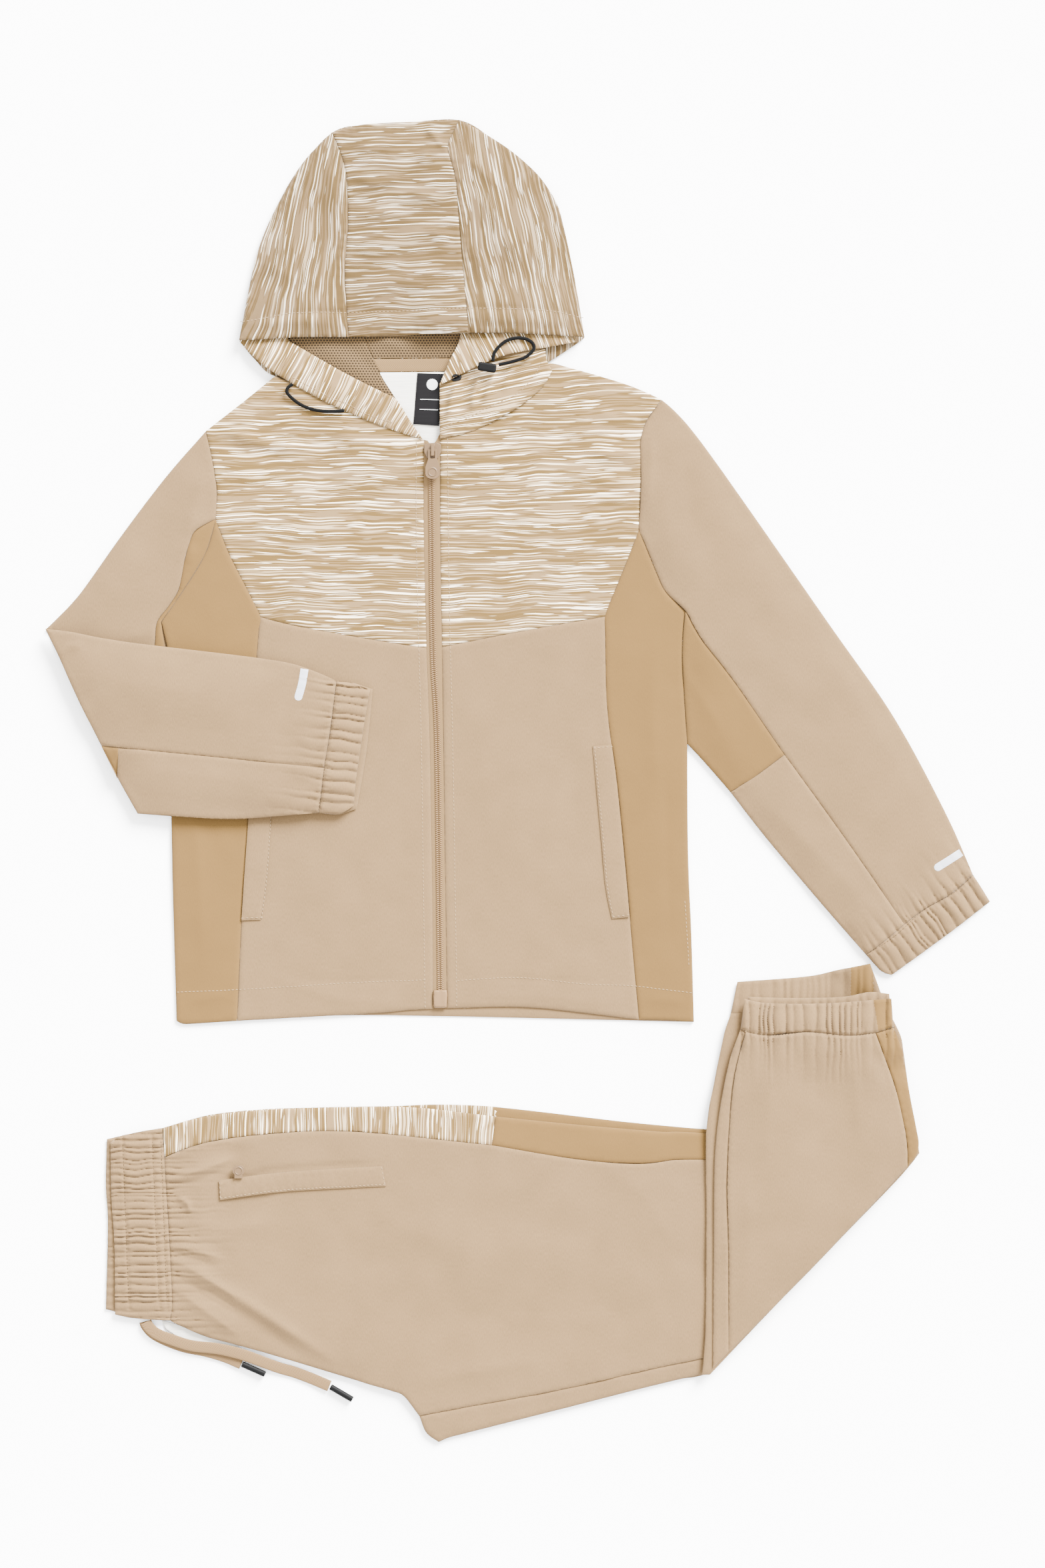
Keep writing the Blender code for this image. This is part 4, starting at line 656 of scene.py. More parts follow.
# The lower fronts: beige cloth with the zip sewn to one edge and the side panel to the other, turned
# up 20 mm at the hem and stitched. They lie almost flat, with a few long soft folds.
FRONT_FOLDS = dict(
    front_left=(
        # route, height, width
        (((-165, 90), (-150, 20), (-140, -60)), 0.7, 16),
        (((-110, 60), (-95, -20), (-92, -110)), -0.5, 14),
        (((-205, -150), (-150, -172), (-90, -178)), 0.5, 5),
        (((-190, -158), (-130, -160), (-80, -157)), -0.4, 3),
    ),
    front_right=(
        (((-40, 70), (-25, 0), (-20, -90)), 0.6, 16),
        (((20, 90), (40, 30), (50, -60)), -0.5, 14),
        (((-40, -170), (10, -172), (80, -178)), 0.5, 5),
        (((-30, -156), (20, -159), (80, -161)), -0.4, 3),
    ),
)


def folded(rows):
    """The relief of a table of folds."""
    def relief(at, off):
        return sum((creased(at, route, high, wide) for route, high, wide in rows), np.zeros(len(at)))
    return relief


for node, folds in FRONT_FOLDS.items():
    lay(node, beige_look, relief=folded(folds), waves=0.45)

# The yokes: the chest and shoulders in cloth printed with short white and tan streaks that run
# across. They are sewn to the lower fronts, sleeves, side panels, zip and neck bands.
PRINT = dict(base=(0.125, 0.079, 0.036), tan=(0.0700, 0.0410, 0.0112), white=(0.66, 0.56, 0.42), row=0.82,
             long=78.0)


def streaked(name, base, tan, white, row, long):
    """Cloth printed in rows of streaks, along the print's own map, over a fine weave."""
    look, tree, shader = new_look(name, 0.86, 0.12, specular=0.06)
    run = add_node(tree, "ShaderNodeUVMap", uv_map="print_run").outputs[0]
    parts = add_node(tree, "ShaderNodeSeparateXYZ", {0: run})

    wobble = add_node(tree, "ShaderNodeTexNoise", {"Vector": run, "Scale": 0.016, "Detail": 2.0})
    level = sum_of(tree, "MULTIPLY_ADD", wobble.outputs[0], 9.0, parts.outputs[1])

    def streaks(height, reach, seed, low, high):
        row_place = sum_of(tree, "ADD", sum_of(tree, "DIVIDE", level, height), seed)
        line = sum_of(tree, "FLOOR", row_place, 0)
        other = sum_of(tree, "MULTIPLY", sum_of(tree, "FLOORED_MODULO", line, 2.0), 0.055)
        along = sum_of(tree, "DIVIDE", parts.outputs[0], reach)
        across = sum_of(tree, "MULTIPLY", line, 7.31)
        spot = add_node(tree, "ShaderNodeCombineXYZ", {0: along, 1: across, 2: seed * 9.7})
        value = add_node(tree, "ShaderNodeTexNoise", {"Vector": spot.outputs[0], "Scale": 1.0, "Detail": 1.0,
                                                      "Roughness": 0.4}).outputs[0]
        in_row = sum_of(tree, "FRACT", row_place, 0)
        middle = sum_of(tree, "ABSOLUTE", sum_of(tree, "SUBTRACT", in_row, 0.5), 0)
        edge = sum_of(tree, "MULTIPLY_ADD", sum_of(tree, "POWER", middle, 3.0), 0.5, other)
        return add_node(tree, "ShaderNodeMapRange", {0: sum_of(tree, "SUBTRACT", value, edge), 1: low,
                                                     2: high}).outputs[0]

    fair = tuple((a * b) ** 0.5 for a, b in zip(base, white))
    colour = blended(tree, streaks(row * 1.15, long, 0.0, 0.465, 0.49), base, tan)
    colour = blended(tree, streaks(row * 1.2, long * 0.8, 0.37, 0.55, 0.59), colour, fair)
    colour = blended(tree, streaks(row, long * 0.7, 0.71, 0.58, 0.605), colour, white)
    colour = blended(tree, streaks(row * 0.85, long * 0.7, 0.19, 0.55, 0.57), colour, tan)
    place = add_node(tree, "ShaderNodeTexCoord").outputs["Object"]
    grain = add_node(tree, "ShaderNodeTexNoise", {"Vector": place, "Scale": 1500.0, "Detail": 1.0})
    colour = blended(tree, 0.10, colour, grain.outputs[1], "MULTIPLY")
    tree.links.new(colour, shader.inputs["Base Color"])
    lumps = add_node(tree, "ShaderNodeTexNoise", {"Vector": place, "Scale": 190.0, "Detail": 2.0})
    raised_by(tree, shader, sum_of(tree, "MULTIPLY_ADD", lumps.outputs[0], 1.6, grain.outputs[0]), 0.35, 0.12)
    return look


print_look = streaked("streak_print", **PRINT)
YOKE_FOLDS = dict(
    yoke_left=(
        (((-240, 281), (-210, 270), (-188, 265), (-160, 264)), 2.72, 6),
        (((-238, 268), (-205, 259), (-175, 257)), -1.44, 6),
        (((-235, 246), (-205, 240), (-170, 241)), 0.96, 6),
        (((-230, 200), (-180, 196), (-120, 200)), 0.56, 9),
        (((-150, 280), (-120, 268), (-90, 266)), 0.8, 7),
    ),
    yoke_right=(
        (((52, 262), (75, 259), (97, 262)), 2.08, 4),
        (((60, 250), (78, 247), (97, 251)), -1.44, 4),
        (((58, 240), (80, 236), (97, 238)), 1.76, 4),
        (((64, 227), (82, 224), (96, 226)), 1.28, 4),
        (((114, 300), (106, 292), (100, 284)), 1.92, 3),
        (((60, 292), (85, 288), (103, 294)), 1.12, 5),
        (((-50, 272), (0, 285), (40, 305)), 0.8, 7),
    ),
)
for node, folds in YOKE_FOLDS.items():
    lay(node, print_look, relief=folded(folds), step=2.4, waves=0.4, puckers=0.22, soften=8,
        flow=(0 if node == "yoke_left" else 1.5, 0.0))

# The side panels: ochre cloth from the armholes to the hem, wrapped round to the back. Each is sewn
# to the yoke, the lower front and the back, and lies with a few soft folds.
OCHRE = (0.0725, 0.0400, 0.0112)
ochre_look = woven("ochre_cloth", OCHRE, contrast=0.09)
SIDE_FOLDS = dict(
    side_left=(
        (((-262, 10), (-254, -60), (-250, -150)), 0.7, 7),
        (((-238, 80), (-233, 10), (-235, -60)), 0.5, 8),
        (((-262, -176), (-240, -172), (-226, -172)), 0.5, 4),
    ),
    side_right=(
        (((110, 120), (108, 60), (112, -20)), 0.6, 8),
        (((118, 20), (120, -60), (122, -140)), -0.5, 6),
        (((100, -176), (118, -174), (138, -178)), 0.5, 4),
    ),
)
for node, folds in SIDE_FOLDS.items():
    lay(node, ochre_look, relief=folded(folds), waves=0.4)

# The zip: two woven tapes with a nylon coil, a painted slider with its bridge, a pull that turns on
# the slider's bar, and a box at the foot. The tapes are sewn to the fronts with a row of stitches.
ZIP_MIDDLE = ((-68.2, 262), (-68, 200), (-66.8, 100), (-63.5, 30), (-61.4, -150), (-61.1, -168))
COIL = dict(pitch=1.55, size=(0.62, 1.75, 0.75), turn=24, gap=1.25)
ZIP_BOX = ((-66.2, -166.8), (-56.0, -166.8), (-55.6, -170.0), (-55.9, -180.0), (-57.0, -181.0),
           (-65.4, -181.0), (-66.5, -180.0), (-66.8, -170.0))
STITCH = dict(pitch=3.1, size=(1.2, 0.34, 0.28))
THREAD = (0.165, 0.112, 0.062)
PAINT = (0.070, 0.041, 0.0185)


def bead_tree():
    """Geometry nodes that set a rounded bead at every step along a line."""
    tree = bpy.data.node_groups.new("bead_row", "GeometryNodeTree")
    sockets = tree.interface
    sockets.new_socket("Geometry", in_out="INPUT", socket_type="NodeSocketGeometry")
    for name, kind in (("Pitch", "Float"), ("Size", "Vector"), ("Turn", "Float"), ("Thread", "Material")):
        sockets.new_socket(name, in_out="INPUT", socket_type="NodeSocket" + kind)
    sockets.new_socket("Geometry", in_out="OUTPUT", socket_type="NodeSocketGeometry")
    given = add_node(tree, "NodeGroupInput")
    line = add_node(tree, "GeometryNodeMeshToCurve", {0: given.outputs["Geometry"]})
    spaced = add_node(tree, "GeometryNodeResampleCurve",
                      {"Curve": line.outputs[0], "Length": given.outputs["Pitch"]}, mode="LENGTH")
    ahead = add_node(tree, "GeometryNodeInputTangent")
    facing = add_node(tree, "FunctionNodeAlignRotationToVector", {"Vector": ahead.outputs[0]}, axis="X")
    lean = add_node(tree, "ShaderNodeCombineXYZ", {2: given.outputs["Turn"]})
    turned = add_node(tree, "FunctionNodeRotateRotation", {0: facing.outputs[0], 1: lean.outputs[0]},
                      rotation_space="LOCAL")
    bead = add_node(tree, "GeometryNodeMeshUVSphere", {"Segments": 7, "Rings": 5, "Radius": 1.0})
    row = add_node(tree, "GeometryNodeInstanceOnPoints",
                   {"Points": spaced.outputs[0], "Instance": bead.outputs[0], "Rotation": turned.outputs[0],
                    "Scale": given.outputs["Size"]})
    real = add_node(tree, "GeometryNodeRealizeInstances", {0: row.outputs[0]})
    smooth = add_node(tree, "GeometryNodeSetShadeSmooth", {0: real.outputs[0]})
    done = add_node(tree, "GeometryNodeSetMaterial", {"Geometry": smooth.outputs[0],
                                                      "Material": given.outputs["Thread"]})
    add_node(tree, "NodeGroupOutput", {0: done.outputs[0]})
    return tree


beads = bead_tree()
socket_ids = {item.name: item.identifier for item in beads.interface.items_tree if item.in_out == "INPUT"}


def bead_row(name, routes, nodes, look, slot, pitch, size, turn=0.0, lift=0.0):
    """Rows of stitches or teeth on the cloth along these routes, as one plain mesh."""
    corners, edges = [], []
    for route in routes:
        line = smooth_line(route, 1.6)
        first = len(corners)
        corners += [(x, y, top_at(nodes, x, y) + lift) for x, y in line]
        edges += [(first + i, first + i + 1) for i in range(len(line) - 1)]
    guide = bpy.data.meshes.new(name + "_line")
    guide.from_pydata((np.array(corners) * MM).tolist(), edges, [])
    holder = bpy.data.objects.new(name + "_line", guide)
    bpy.context.scene.collection.objects.link(holder)
    step = holder.modifiers.new("beads", "NODES")
    step.node_group = beads
    step[socket_ids["Pitch"]] = pitch * MM
    step[socket_ids["Size"]] = tuple(v * MM for v in size)
    step[socket_ids["Turn"]] = math.radians(turn)
    step[socket_ids["Thread"]] = look
    bpy.context.view_layer.update()
    made = bpy.data.meshes.new_from_object(holder.evaluated_get(bpy.context.evaluated_depsgraph_get()))
    bpy.data.objects.remove(holder)
    piece = shown(name, made, look)
    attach(piece, "garment")
    return piece


def moved_aside(route, by):
    """The route moved to its left."""
    p = np.array(route, float)
    ahead = np.gradient(p, axis=0)
    ahead /= np.linalg.norm(ahead, axis=1)[:, None]
    return p + by * np.stack([-ahead[:, 1], ahead[:, 0]], 1)


zip_tape_look = herringbone("zip_tape", TAPE, 90, 1.6, 1.1)
for node in ("zip_tape_left", "zip_tape_right"):
    lay(node, zip_tape_look, wall=1.0, step=2.2, roll=0.2, waves=0.1, puckers=0.05, soften=4)
coil_look, coil_tree, coil_shader = new_look("zip_coil", 0.5, specular=0.12)
coil_grain = add_node(coil_tree, "ShaderNodeTexNoise", {"Scale": 1200.0})
coil_shade = blended(coil_tree, coil_grain.outputs[0], PAINT, tuple(c * 2.0 for c in PAINT))
coil_tree.links.new(coil_shade, coil_shader.inputs["Base Color"])
for side, turn in ((1, COIL["turn"]), (-1, -COIL["turn"])):
    bead_row("zip_coil_" + ("left" if side < 0 else "right"), [moved_aside(ZIP_MIDDLE, side * COIL["gap"])],
             ["zip_tape_left", "zip_tape_right"], coil_look, "coil", COIL["pitch"], COIL["size"], turn, 0.2)
paint_look, paint_tree, paint_shader = new_look("painted_zinc", 0.42, specular=0.2)
paint_wear = add_node(paint_tree, "ShaderNodeTexNoise", {"Scale": 260.0, "Detail": 4.0})
paint_shade = blended(paint_tree, paint_wear.outputs[0], tuple(c * 0.85 for c in PAINT),
                      tuple(c * 1.1 for c in PAINT))
paint_tree.links.new(paint_shade, paint_shader.inputs["Base Color"])
raised_by(paint_tree, paint_shader, paint_wear.outputs[0], 0.2, 0.08)
for node in ("zip_slider", "zip_pull", "pocket_pull"):
    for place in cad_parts[node].material_slots:
        place.material = paint_look
patch_on("zip_box", ZIP_BOX, 2.6, coil_look, ["zip_tape_left", "zip_tape_right"], thick=2.2)
thread_look, thread_tree, thread_shader = new_look("beige_thread", 0.75, 0.05, specular=0.05)
thread_twist = add_node(thread_tree, "ShaderNodeTexNoise", {"Scale": 3000.0})
thread_shade = blended(thread_tree, thread_twist.outputs[0], tuple(c * 0.8 for c in THREAD), THREAD)
thread_tree.links.new(thread_shade, thread_shader.inputs["Base Color"])
# The elastic rows' stitches get a near-black colour, a fifth of the thread's. This is painted shade in the
# pits where the gathered cloth is pulled in, not the thread's own colour.
painted_shade_stitch_look, painted_shade_stitch_tree, painted_shade_stitch_shader = new_look("stitch_painted_shade", 0.8, 0.0, specular=0.03)
painted_shade_stitch_twist = add_node(painted_shade_stitch_tree, "ShaderNodeTexNoise", {"Scale": 3000.0})
painted_shade_stitch_colour = blended(painted_shade_stitch_tree, painted_shade_stitch_twist.outputs[0], tuple(c * 0.16 for c in THREAD),
                    tuple(c * 0.24 for c in THREAD))
painted_shade_stitch_tree.links.new(painted_shade_stitch_colour, painted_shade_stitch_shader.inputs["Base Color"])
JACKET_STITCHES = dict(
    # name: (cloth under it, routes)
    zip_stitches_left=("yoke_left front_left", (((-80.2, 268), (-80.4, 200), (-78.4, 104)),
                                               ((-78.2, 103), (-76.2, 20), (-73.8, -150), (-73.2, -180)))),
    zip_stitches_right=("yoke_right front_right", (((-55.4, 274), (-54.8, 200), (-53.4, 106)),
                                                  ((-53.2, 105), (-51.2, 20), (-48.5, -150), (-48.2, -179)))),
    hem_stitches=("front_left front_right side_left side_right",
                  (((-270, -168.5), (-224, -166.6), (-178, -164), (-131.5, -161), (-74, -158.8)),
                   ((-47, -159.2), (2.3, -157), (53, -162), (90, -163.4), (110, -165.6), (138, -168.9)))),
    side_stitches=("side_right side_left", (((133.5, -97), (135.0, -120), (136.6, -146)),)),
)
for name, (nodes, routes) in JACKET_STITCHES.items():
    bead_row(name, routes, nodes.split(), thread_look, "tape", STITCH["pitch"], STITCH["size"], 0, 0.02)

# The jacket's welt pockets: a slanting strip of the same beige cloth on each side, sewn down with a
# row of stitches along its inner edge and at both ends.
WELTS = dict(
    pocket_welt_left=(((-195.4, -20), (-199, -74), (-203.2, -109)), ((-203.5, -109.2), (-218.6, -109.6))),
    pocket_welt_right=(((61.6, 26.0), (68.6, -47.4), (71.8, -84.5), (76.2, -108)),
                       ((76.6, -108.4), (88.2, -107.2)), ((61.5, 25.6), (74.8, 26.8))),
)
for node, routes in WELTS.items():
    lay(node, beige_look, wall=1.0, step=2.2, roll=0.45, waves=0.25, puckers=0.15, soften=4)
    bead_row(node + "_stitches", routes, [node], thread_look, "beige", STITCH["pitch"], STITCH["size"], 0,
             0.02)

# The left sleeve: beige cloth with an ochre gusset under the arm. It is folded at the elbow, so that
# the forearm lies across the front, with its elastic cuff gathered and an ochre corner at the elbow.
REFLECTIVE = (0.30, 0.305, 0.33)
LEFT_CUFF = dict(start=(-143.5, 79), end=(-157.5, -26), count=14, fade=17, height=2.5, seed=4,
                 rows=(((-143.4, 78), (-145.4, 60.6), (-148.4, 40.3), (-151.5, 20), (-153.5, 3.8),
                        (-155.6, -10.4), (-157.6, -25.6)),))
LEFT_SLEEVE_FOLDS = dict(
    sleeve_left=(
        (((-246, 248), (-258, 214), (-263, 194)), 1.2, 5),
        (((-262, 240), (-285, 190), (-305, 160)), -0.7, 14),
        (((-300, 190), (-318, 160), (-330, 140)), 0.6, 12),
        (((-268, 130), (-290, 118), (-318, 112)), 0.7, 7),
    ),
    sleeve_left_gusset=(
        (((-256, 187), (-262, 171)), 0.9, 3),
        (((-262, 150), (-268, 128)), -0.6, 5),
    ),
    forearm=(
        (((-364, 96), (-357, 106), (-343, 106)), 1.3, 3),
        (((-340, 84), (-290, 74), (-230, 66)), 0.7, 13),
        (((-320, 46), (-260, 40), (-200, 34)), -0.5, 12),
    ),
    forearm_under=(
        (((-300, 8), (-250, 4), (-190, -2)), 0.5, 8),
        (((-310, -12), (-250, -18), (-190, -22)), -0.4, 8),
    ),
)
ELBOW_CORNER = ((-330.4, 27.2), (-316.5, 25.2), (-317.3, 1.2))
LEFT_STRIP = ((-168.9, 88.4), (-170.8, 76.6), (-173.6, 66.4))
ELASTIC_ROW = dict(pitch=2.7, size=(1.0, 0.24, 0.2))


def gathered(at, start, end, count, fade, height, seed, rows=()):
    """Ridges square to a sewn line: over the whole band on its left, fading into the panel on its
    right, and pressed down along each row of stitches."""
    start, end = np.array(start, float), np.array(end, float)
    long = np.linalg.norm(end - start)
    ahead = (end - start) / long
    aside = (at - start) @ np.array([-ahead[1], ahead[0]])
    rng = np.random.default_rng(seed)
    marks = np.cumsum(rng.uniform(0.4, 1.6, count + 5))
    marks = (marks - marks[2]) / (marks[-3] - marks[2]) * long
    swing = (at - start) @ ahead + 1.6 * uneven(at, 15, seed)
    phase = np.interp(swing, marks, np.arange(count + 5))
    which = np.clip(phase.astype(int), 0, count + 4)
    strong = rng.uniform(0.45, 1.25, count + 5)[which] * (1 + 0.3 * uneven(at, 12, seed + 1))
    reach = fade * rng.uniform(0.35, 1.35, count + 5)[which]
    ridge = np.abs(np.sin(math.pi * phase)) ** 0.5 - 0.65
    shown_part = np.where(aside > 0, 1.0, np.exp(-((np.abs(aside) / reach) ** 1.3)))
    pressed = np.zeros(len(at))
    near = np.zeros(len(at))
    for row in rows:
        off = nearest_on(at, np.array(row, float))[0]
        pressed = np.maximum(pressed, np.exp(-((off / 1.5) ** 2)))
        near = np.maximum(near, np.exp(-((off / 5.0) ** 2)))
    small = np.abs(np.sin(2.3 * math.pi * phase + 2 * uneven(at, 9, seed))) ** 0.7 - 0.6
    return height * strong * shown_part * (ridge * (1 - 0.4 * pressed) - 0.25 * pressed + 0.32 * small * near)


def ends_of(gather):
    """The sewn line of a gather, as two points."""
    return (gather["start"], gather["end"])


def strip_along(route, wide):
    """The outline of a strip along a route, round at its last end."""
    line = smooth_line(route, 2.0)
    ahead = line[-1] - line[-2]
    lean = math.atan2(ahead[1], ahead[0])
    cap = [line[-1] + wide / 2 * np.array([math.cos(lean + a), math.sin(lean + a)])
           for a in np.radians(np.arange(-75, 76, 15))]
    return np.vstack([moved_aside(line, -wide / 2), cap, moved_aside(line, wide / 2)[::-1]])


lay("forearm_back", beige_look, wall=1.0)
for node, folds in LEFT_SLEEVE_FOLDS.items():
    gusset = "gusset" in node
    arm = node.startswith("forearm")
    lay(node, ochre_look if gusset else beige_look, waves=0.4,
        relief=lambda at, off, folds=folds, arm=arm: folded(folds)(at, off)
        + (gathered(at, **LEFT_CUFF) if arm else 0), fine=(ends_of(LEFT_CUFF), 42, 1.1) if arm else None,
        soften=26)
lay("cuff_left", beige_look, step=1.0, soften=40, full=1.25, roll=0.7,
    relief=lambda at, off: gathered(at, **LEFT_CUFF))
bead_row("cuff_left_stitches", LEFT_CUFF["rows"], ["forearm", "forearm_under", "cuff_left"], painted_shade_stitch_look,
         "beige", **ELASTIC_ROW, lift=0.02)
patch_on("elbow_corner", ELBOW_CORNER, 0.22, ochre_look, ["forearm", "forearm_under"], thick=0.4)
film_look, film_tree, film_shader = new_look("reflective_film", 0.4, specular=0.2)
film_beads = add_node(film_tree, "ShaderNodeTexVoronoi", {"Scale": 2600.0})
film_shade = blended(film_tree, film_beads.outputs[0], REFLECTIVE, tuple(c * 0.86 for c in REFLECTIVE))
film_tree.links.new(film_shade, film_shader.inputs["Base Color"])
patch_on("reflective_strip_left", strip_along(LEFT_STRIP, 6.2), 0.2, film_look, ["forearm"])

# The right sleeve lies straight out: beige cloth in two pieces with an ochre gusset under the arm, a
# gathered elastic cuff with a stitched seam, and a strip of reflective film pressed on at the cuff.
RIGHT_CUFF = dict(start=(364, -75), end=(277, -138), count=15, fade=13, height=2.1, seed=9,
                  rows=(((362.8, -75.8), (345.5, -90.6), (323.3, -103), (300, -124), (277.6, -138.7)),))
RIGHT_SLEEVE_FOLDS = dict(
    sleeve_right=(
        (((105.8, 278), (107, 265), (105, 235), (102, 208)), 1.1, 4),
        (((128, 270), (137, 230), (137, 190)), -0.9, 12),
        (((180, 90), (240, 40), (300, -20)), -0.6, 16),
        (((200, 170), (260, 80), (310, 0)), 0.7, 18),
        (((150, 120), (180, 60), (220, 10)), 0.5, 12),
    ),
    sleeve_right_gusset=(
        (((120, 105), (150, 60), (168, 30)), 0.5, 6),
    ),
    sleeve_right_under=(
        (((190, -10), (240, -60), (285, -105)), 0.5, 7),
    ),
)
RIGHT_STRIP = ((353.2, -57.3), (345, -62.5), (334.5, -69))

for node, folds in RIGHT_SLEEVE_FOLDS.items():
    gusset = "gusset" in node
    lay(node, ochre_look if gusset else beige_look, waves=0.45,
        relief=lambda at, off, folds=folds, plain=gusset: folded(folds)(at, off)
        + (0 if plain else gathered(at, **RIGHT_CUFF)),
        fine=None if gusset else (ends_of(RIGHT_CUFF), 40, 1.1), soften=26)
lay("cuff_right", beige_look, step=1.0, soften=40, full=1.25, roll=0.7,
    relief=lambda at, off: gathered(at, **RIGHT_CUFF))
bead_row("cuff_right_stitches", RIGHT_CUFF["rows"], ["sleeve_right", "sleeve_right_under", "cuff_right"],
         painted_shade_stitch_look, "beige", **ELASTIC_ROW, lift=0.02)
patch_on("reflective_strip_right", strip_along(RIGHT_STRIP, 6.0), 0.2, film_look, ["sleeve_right"])

# The hood: three panels of the printed cloth, with its streaks down the side panels and across
# the middle one. The mouth is turned in and stitched into a casing for the elastic.
HOOD_STITCH = ((-219, 364), (-200, 367), (-180, 370.5), (-157, 371.5), (-137, 371.5), (-100, 372.5),
               (-60, 374), (-40, 374.5), (0, 374), (30, 372), (52, 367))
HOOD = dict(
    # node: print's run and bend, folds as (route, height, width)
    hood_left=(78, 0.005, (
        (((-215, 361), (-180, 364), (-140, 363)), 1.44, 6),
        (((-205, 415), (-180, 400), (-145, 394)), 1.76, 8),
        (((-170, 480), (-158, 450), (-150, 400)), -1.6, 8),
        (((-152, 500), (-146, 470), (-143, 430)), 1.44, 5),
        (((-190, 440), (-176, 420), (-168, 395)), 1.12, 7),
    )),
    hood_centre=(1, 0.0, (
        (((-132, 363), (-90, 364), (-44, 366)), 1.44, 6),
        (((-132, 480), (-110, 474), (-84, 480)), 2.08, 4),
        (((-112, 462), (-84, 466), (-52, 458)), 1.92, 4.5),
        (((-131, 446), (-104, 450), (-80, 444)), 1.6, 4),
        (((-92, 432), (-70, 436), (-50, 428)), 1.76, 4),
        (((-130, 424), (-112, 418), (-92, 422)), 1.44, 4),
        (((-82, 405), (-64, 402), (-46, 408)), 1.6, 5),
        (((-133, 392), (-100, 396), (-60, 390)), 1.28, 6),
        (((-74, 521), (-66, 512), (-57, 501)), 2.88, 3.2),
        (((-62, 508), (-72, 500), (-76, 488)), 1.6, 4),
        (((-132, 506), (-110, 502), (-92, 508)), 1.6, 4.5),
        (((-120, 520), (-96, 524), (-70, 524)), -1.12, 5),
    )),
    hood_right=(102, 0.001, (
        (((-34, 365), (0, 365), (44, 362)), 1.44, 6),
        (((-44, 498), (-30, 486), (-14, 470)), 1.76, 4.5),
        (((-42, 474), (-20, 452), (4, 410)), 1.6, 9),
        (((18, 470), (30, 430), (34, 395)), -1.6, 8),
        (((-40, 430), (-30, 410), (-24, 386)), 1.44, 5),
    )),
)
# The hood's print is the yoke's print made darker, about two thirds as bright with fewer whites. This is
# painted shade over the whole hood.
HOOD_PRINT_PAINTED_SHADE = {**PRINT, "base": (0.079, 0.0498, 0.0232), "tan": (0.047, 0.0278, 0.0085),
              "white": (0.37, 0.317, 0.242)}
hood_painted_shade_look = streaked("hood_print_painted_shade", **HOOD_PRINT_PAINTED_SHADE)
lay("hood_back", hood_painted_shade_look, flow=(90, 0.0), puckers=0)
for node, (run, bend, folds) in HOOD.items():
    lay(node, hood_painted_shade_look, step=2.0, waves=0.8, puckers=0.5, soften=20, flow=(run, bend),
        relief=lambda at, off, folds=folds: folded(folds)(at, off)
        + creased(at, HOOD_STITCH, -0.45, 2.2) * 3)
bead_row("hood_stitches", [HOOD_STITCH], list(HOOD), thread_look, "print", STITCH["pitch"], STITCH["size"],
         0, 0.02)

# The neck: a band of the printed cloth at each side and a wrinkled collar piece at the right, whose
# seam allowance is stitched down. The elastic comes out at an oval eyelet in its upper corner.
NECK = dict(
    # node: print's run, folds
    band_left=(64, (
        (((-200, 338), (-160, 318), (-110, 296)), 0.6, 7),
    )),
    band_right=(116, (
        (((-30, 340), (0, 345), (30, 348)), 0.4, 4),
    )),
    collar_right=(12, (
        (((-46, 320), (-52, 302), (-57, 284)), 3.2, 3.0),
        (((-37, 322), (-43, 305), (-46, 290)), -2.2, 3.0),
        (((-28, 326), (-34, 308), (-36, 292)), 3.0, 3.0),
        (((-15, 328), (-22, 312), (-27, 298)), 3.3, 3.0),
        (((0, 334), (-6, 322), (-12, 308)), 2.4, 3.2),
        (((10, 338), (6, 328), (-2, 318)), 1.0, 3),
        (((-58, 312), (-56, 298), (-60, 286)), -0.9, 2.6),
    )),
)
NECK_STITCHES = dict(
    collar_right=(((-60, 276), (-50, 280), (-37, 285), (-22, 293), (0, 303), (10, 312), (17, 320),
                   (22, 330)),),
    band_left=(((-179, 316.5), (-150, 301), (-137, 296), (-122, 288), (-101, 281)),),
)
EYELET = dict(middle=(-48.7, 320.3), reach=(4.6, 3.6), thick=1.2, lift=1.2, hole=0.9)

for node, (run, folds) in NECK.items():
    lay(node, print_look, step=1.8, waves=0.35, puckers=0.3, soften=8, flow=(run, 0.0),
        relief=folded(folds))
for node, routes in NECK_STITCHES.items():
    bead_row(node + "_stitches", [moved_aside(np.array(route, float), 3.5) for route in routes], [node],
             thread_look, "print", STITCH["pitch"], STITCH["size"], 0, 0.02)
eyelet_look, eyelet_tree, eyelet_shader = new_look("black_brass", 0.4, specular=0.08)
eyelet_wear = add_node(eyelet_tree, "ShaderNodeTexNoise", {"Scale": 700.0})
eyelet_shade = blended(eyelet_tree, eyelet_wear.outputs[0], (0.002, 0.002, 0.002), (0.005, 0.005, 0.005))
eyelet_tree.links.new(eyelet_shade, eyelet_shader.inputs["Base Color"])
ring_points, ring_faces = [], []
sides_round, sides_thick = 28, 8
seat = top_at(["collar_right", "band_right"], *EYELET["middle"]) + EYELET["lift"]
for i in range(sides_round):
    a = 2 * math.pi * i / sides_round
    for k in range(sides_thick):
        b = 2 * math.pi * k / sides_thick
        out = EYELET["thick"] * math.cos(b)
        ring_points.append((EYELET["middle"][0] + (EYELET["reach"][0] - EYELET["thick"] + out) * math.cos(a),
                            EYELET["middle"][1] + (EYELET["reach"][1] - EYELET["thick"] + out) * math.sin(a),
                            seat + 0.6 * EYELET["thick"] * math.sin(b)))
        after = ((i + 1) % sides_round) * sides_thick
        ring_faces.append((i * sides_thick + k, after + k, after + (k + 1) % sides_thick,
                           i * sides_thick + (k + 1) % sides_thick))
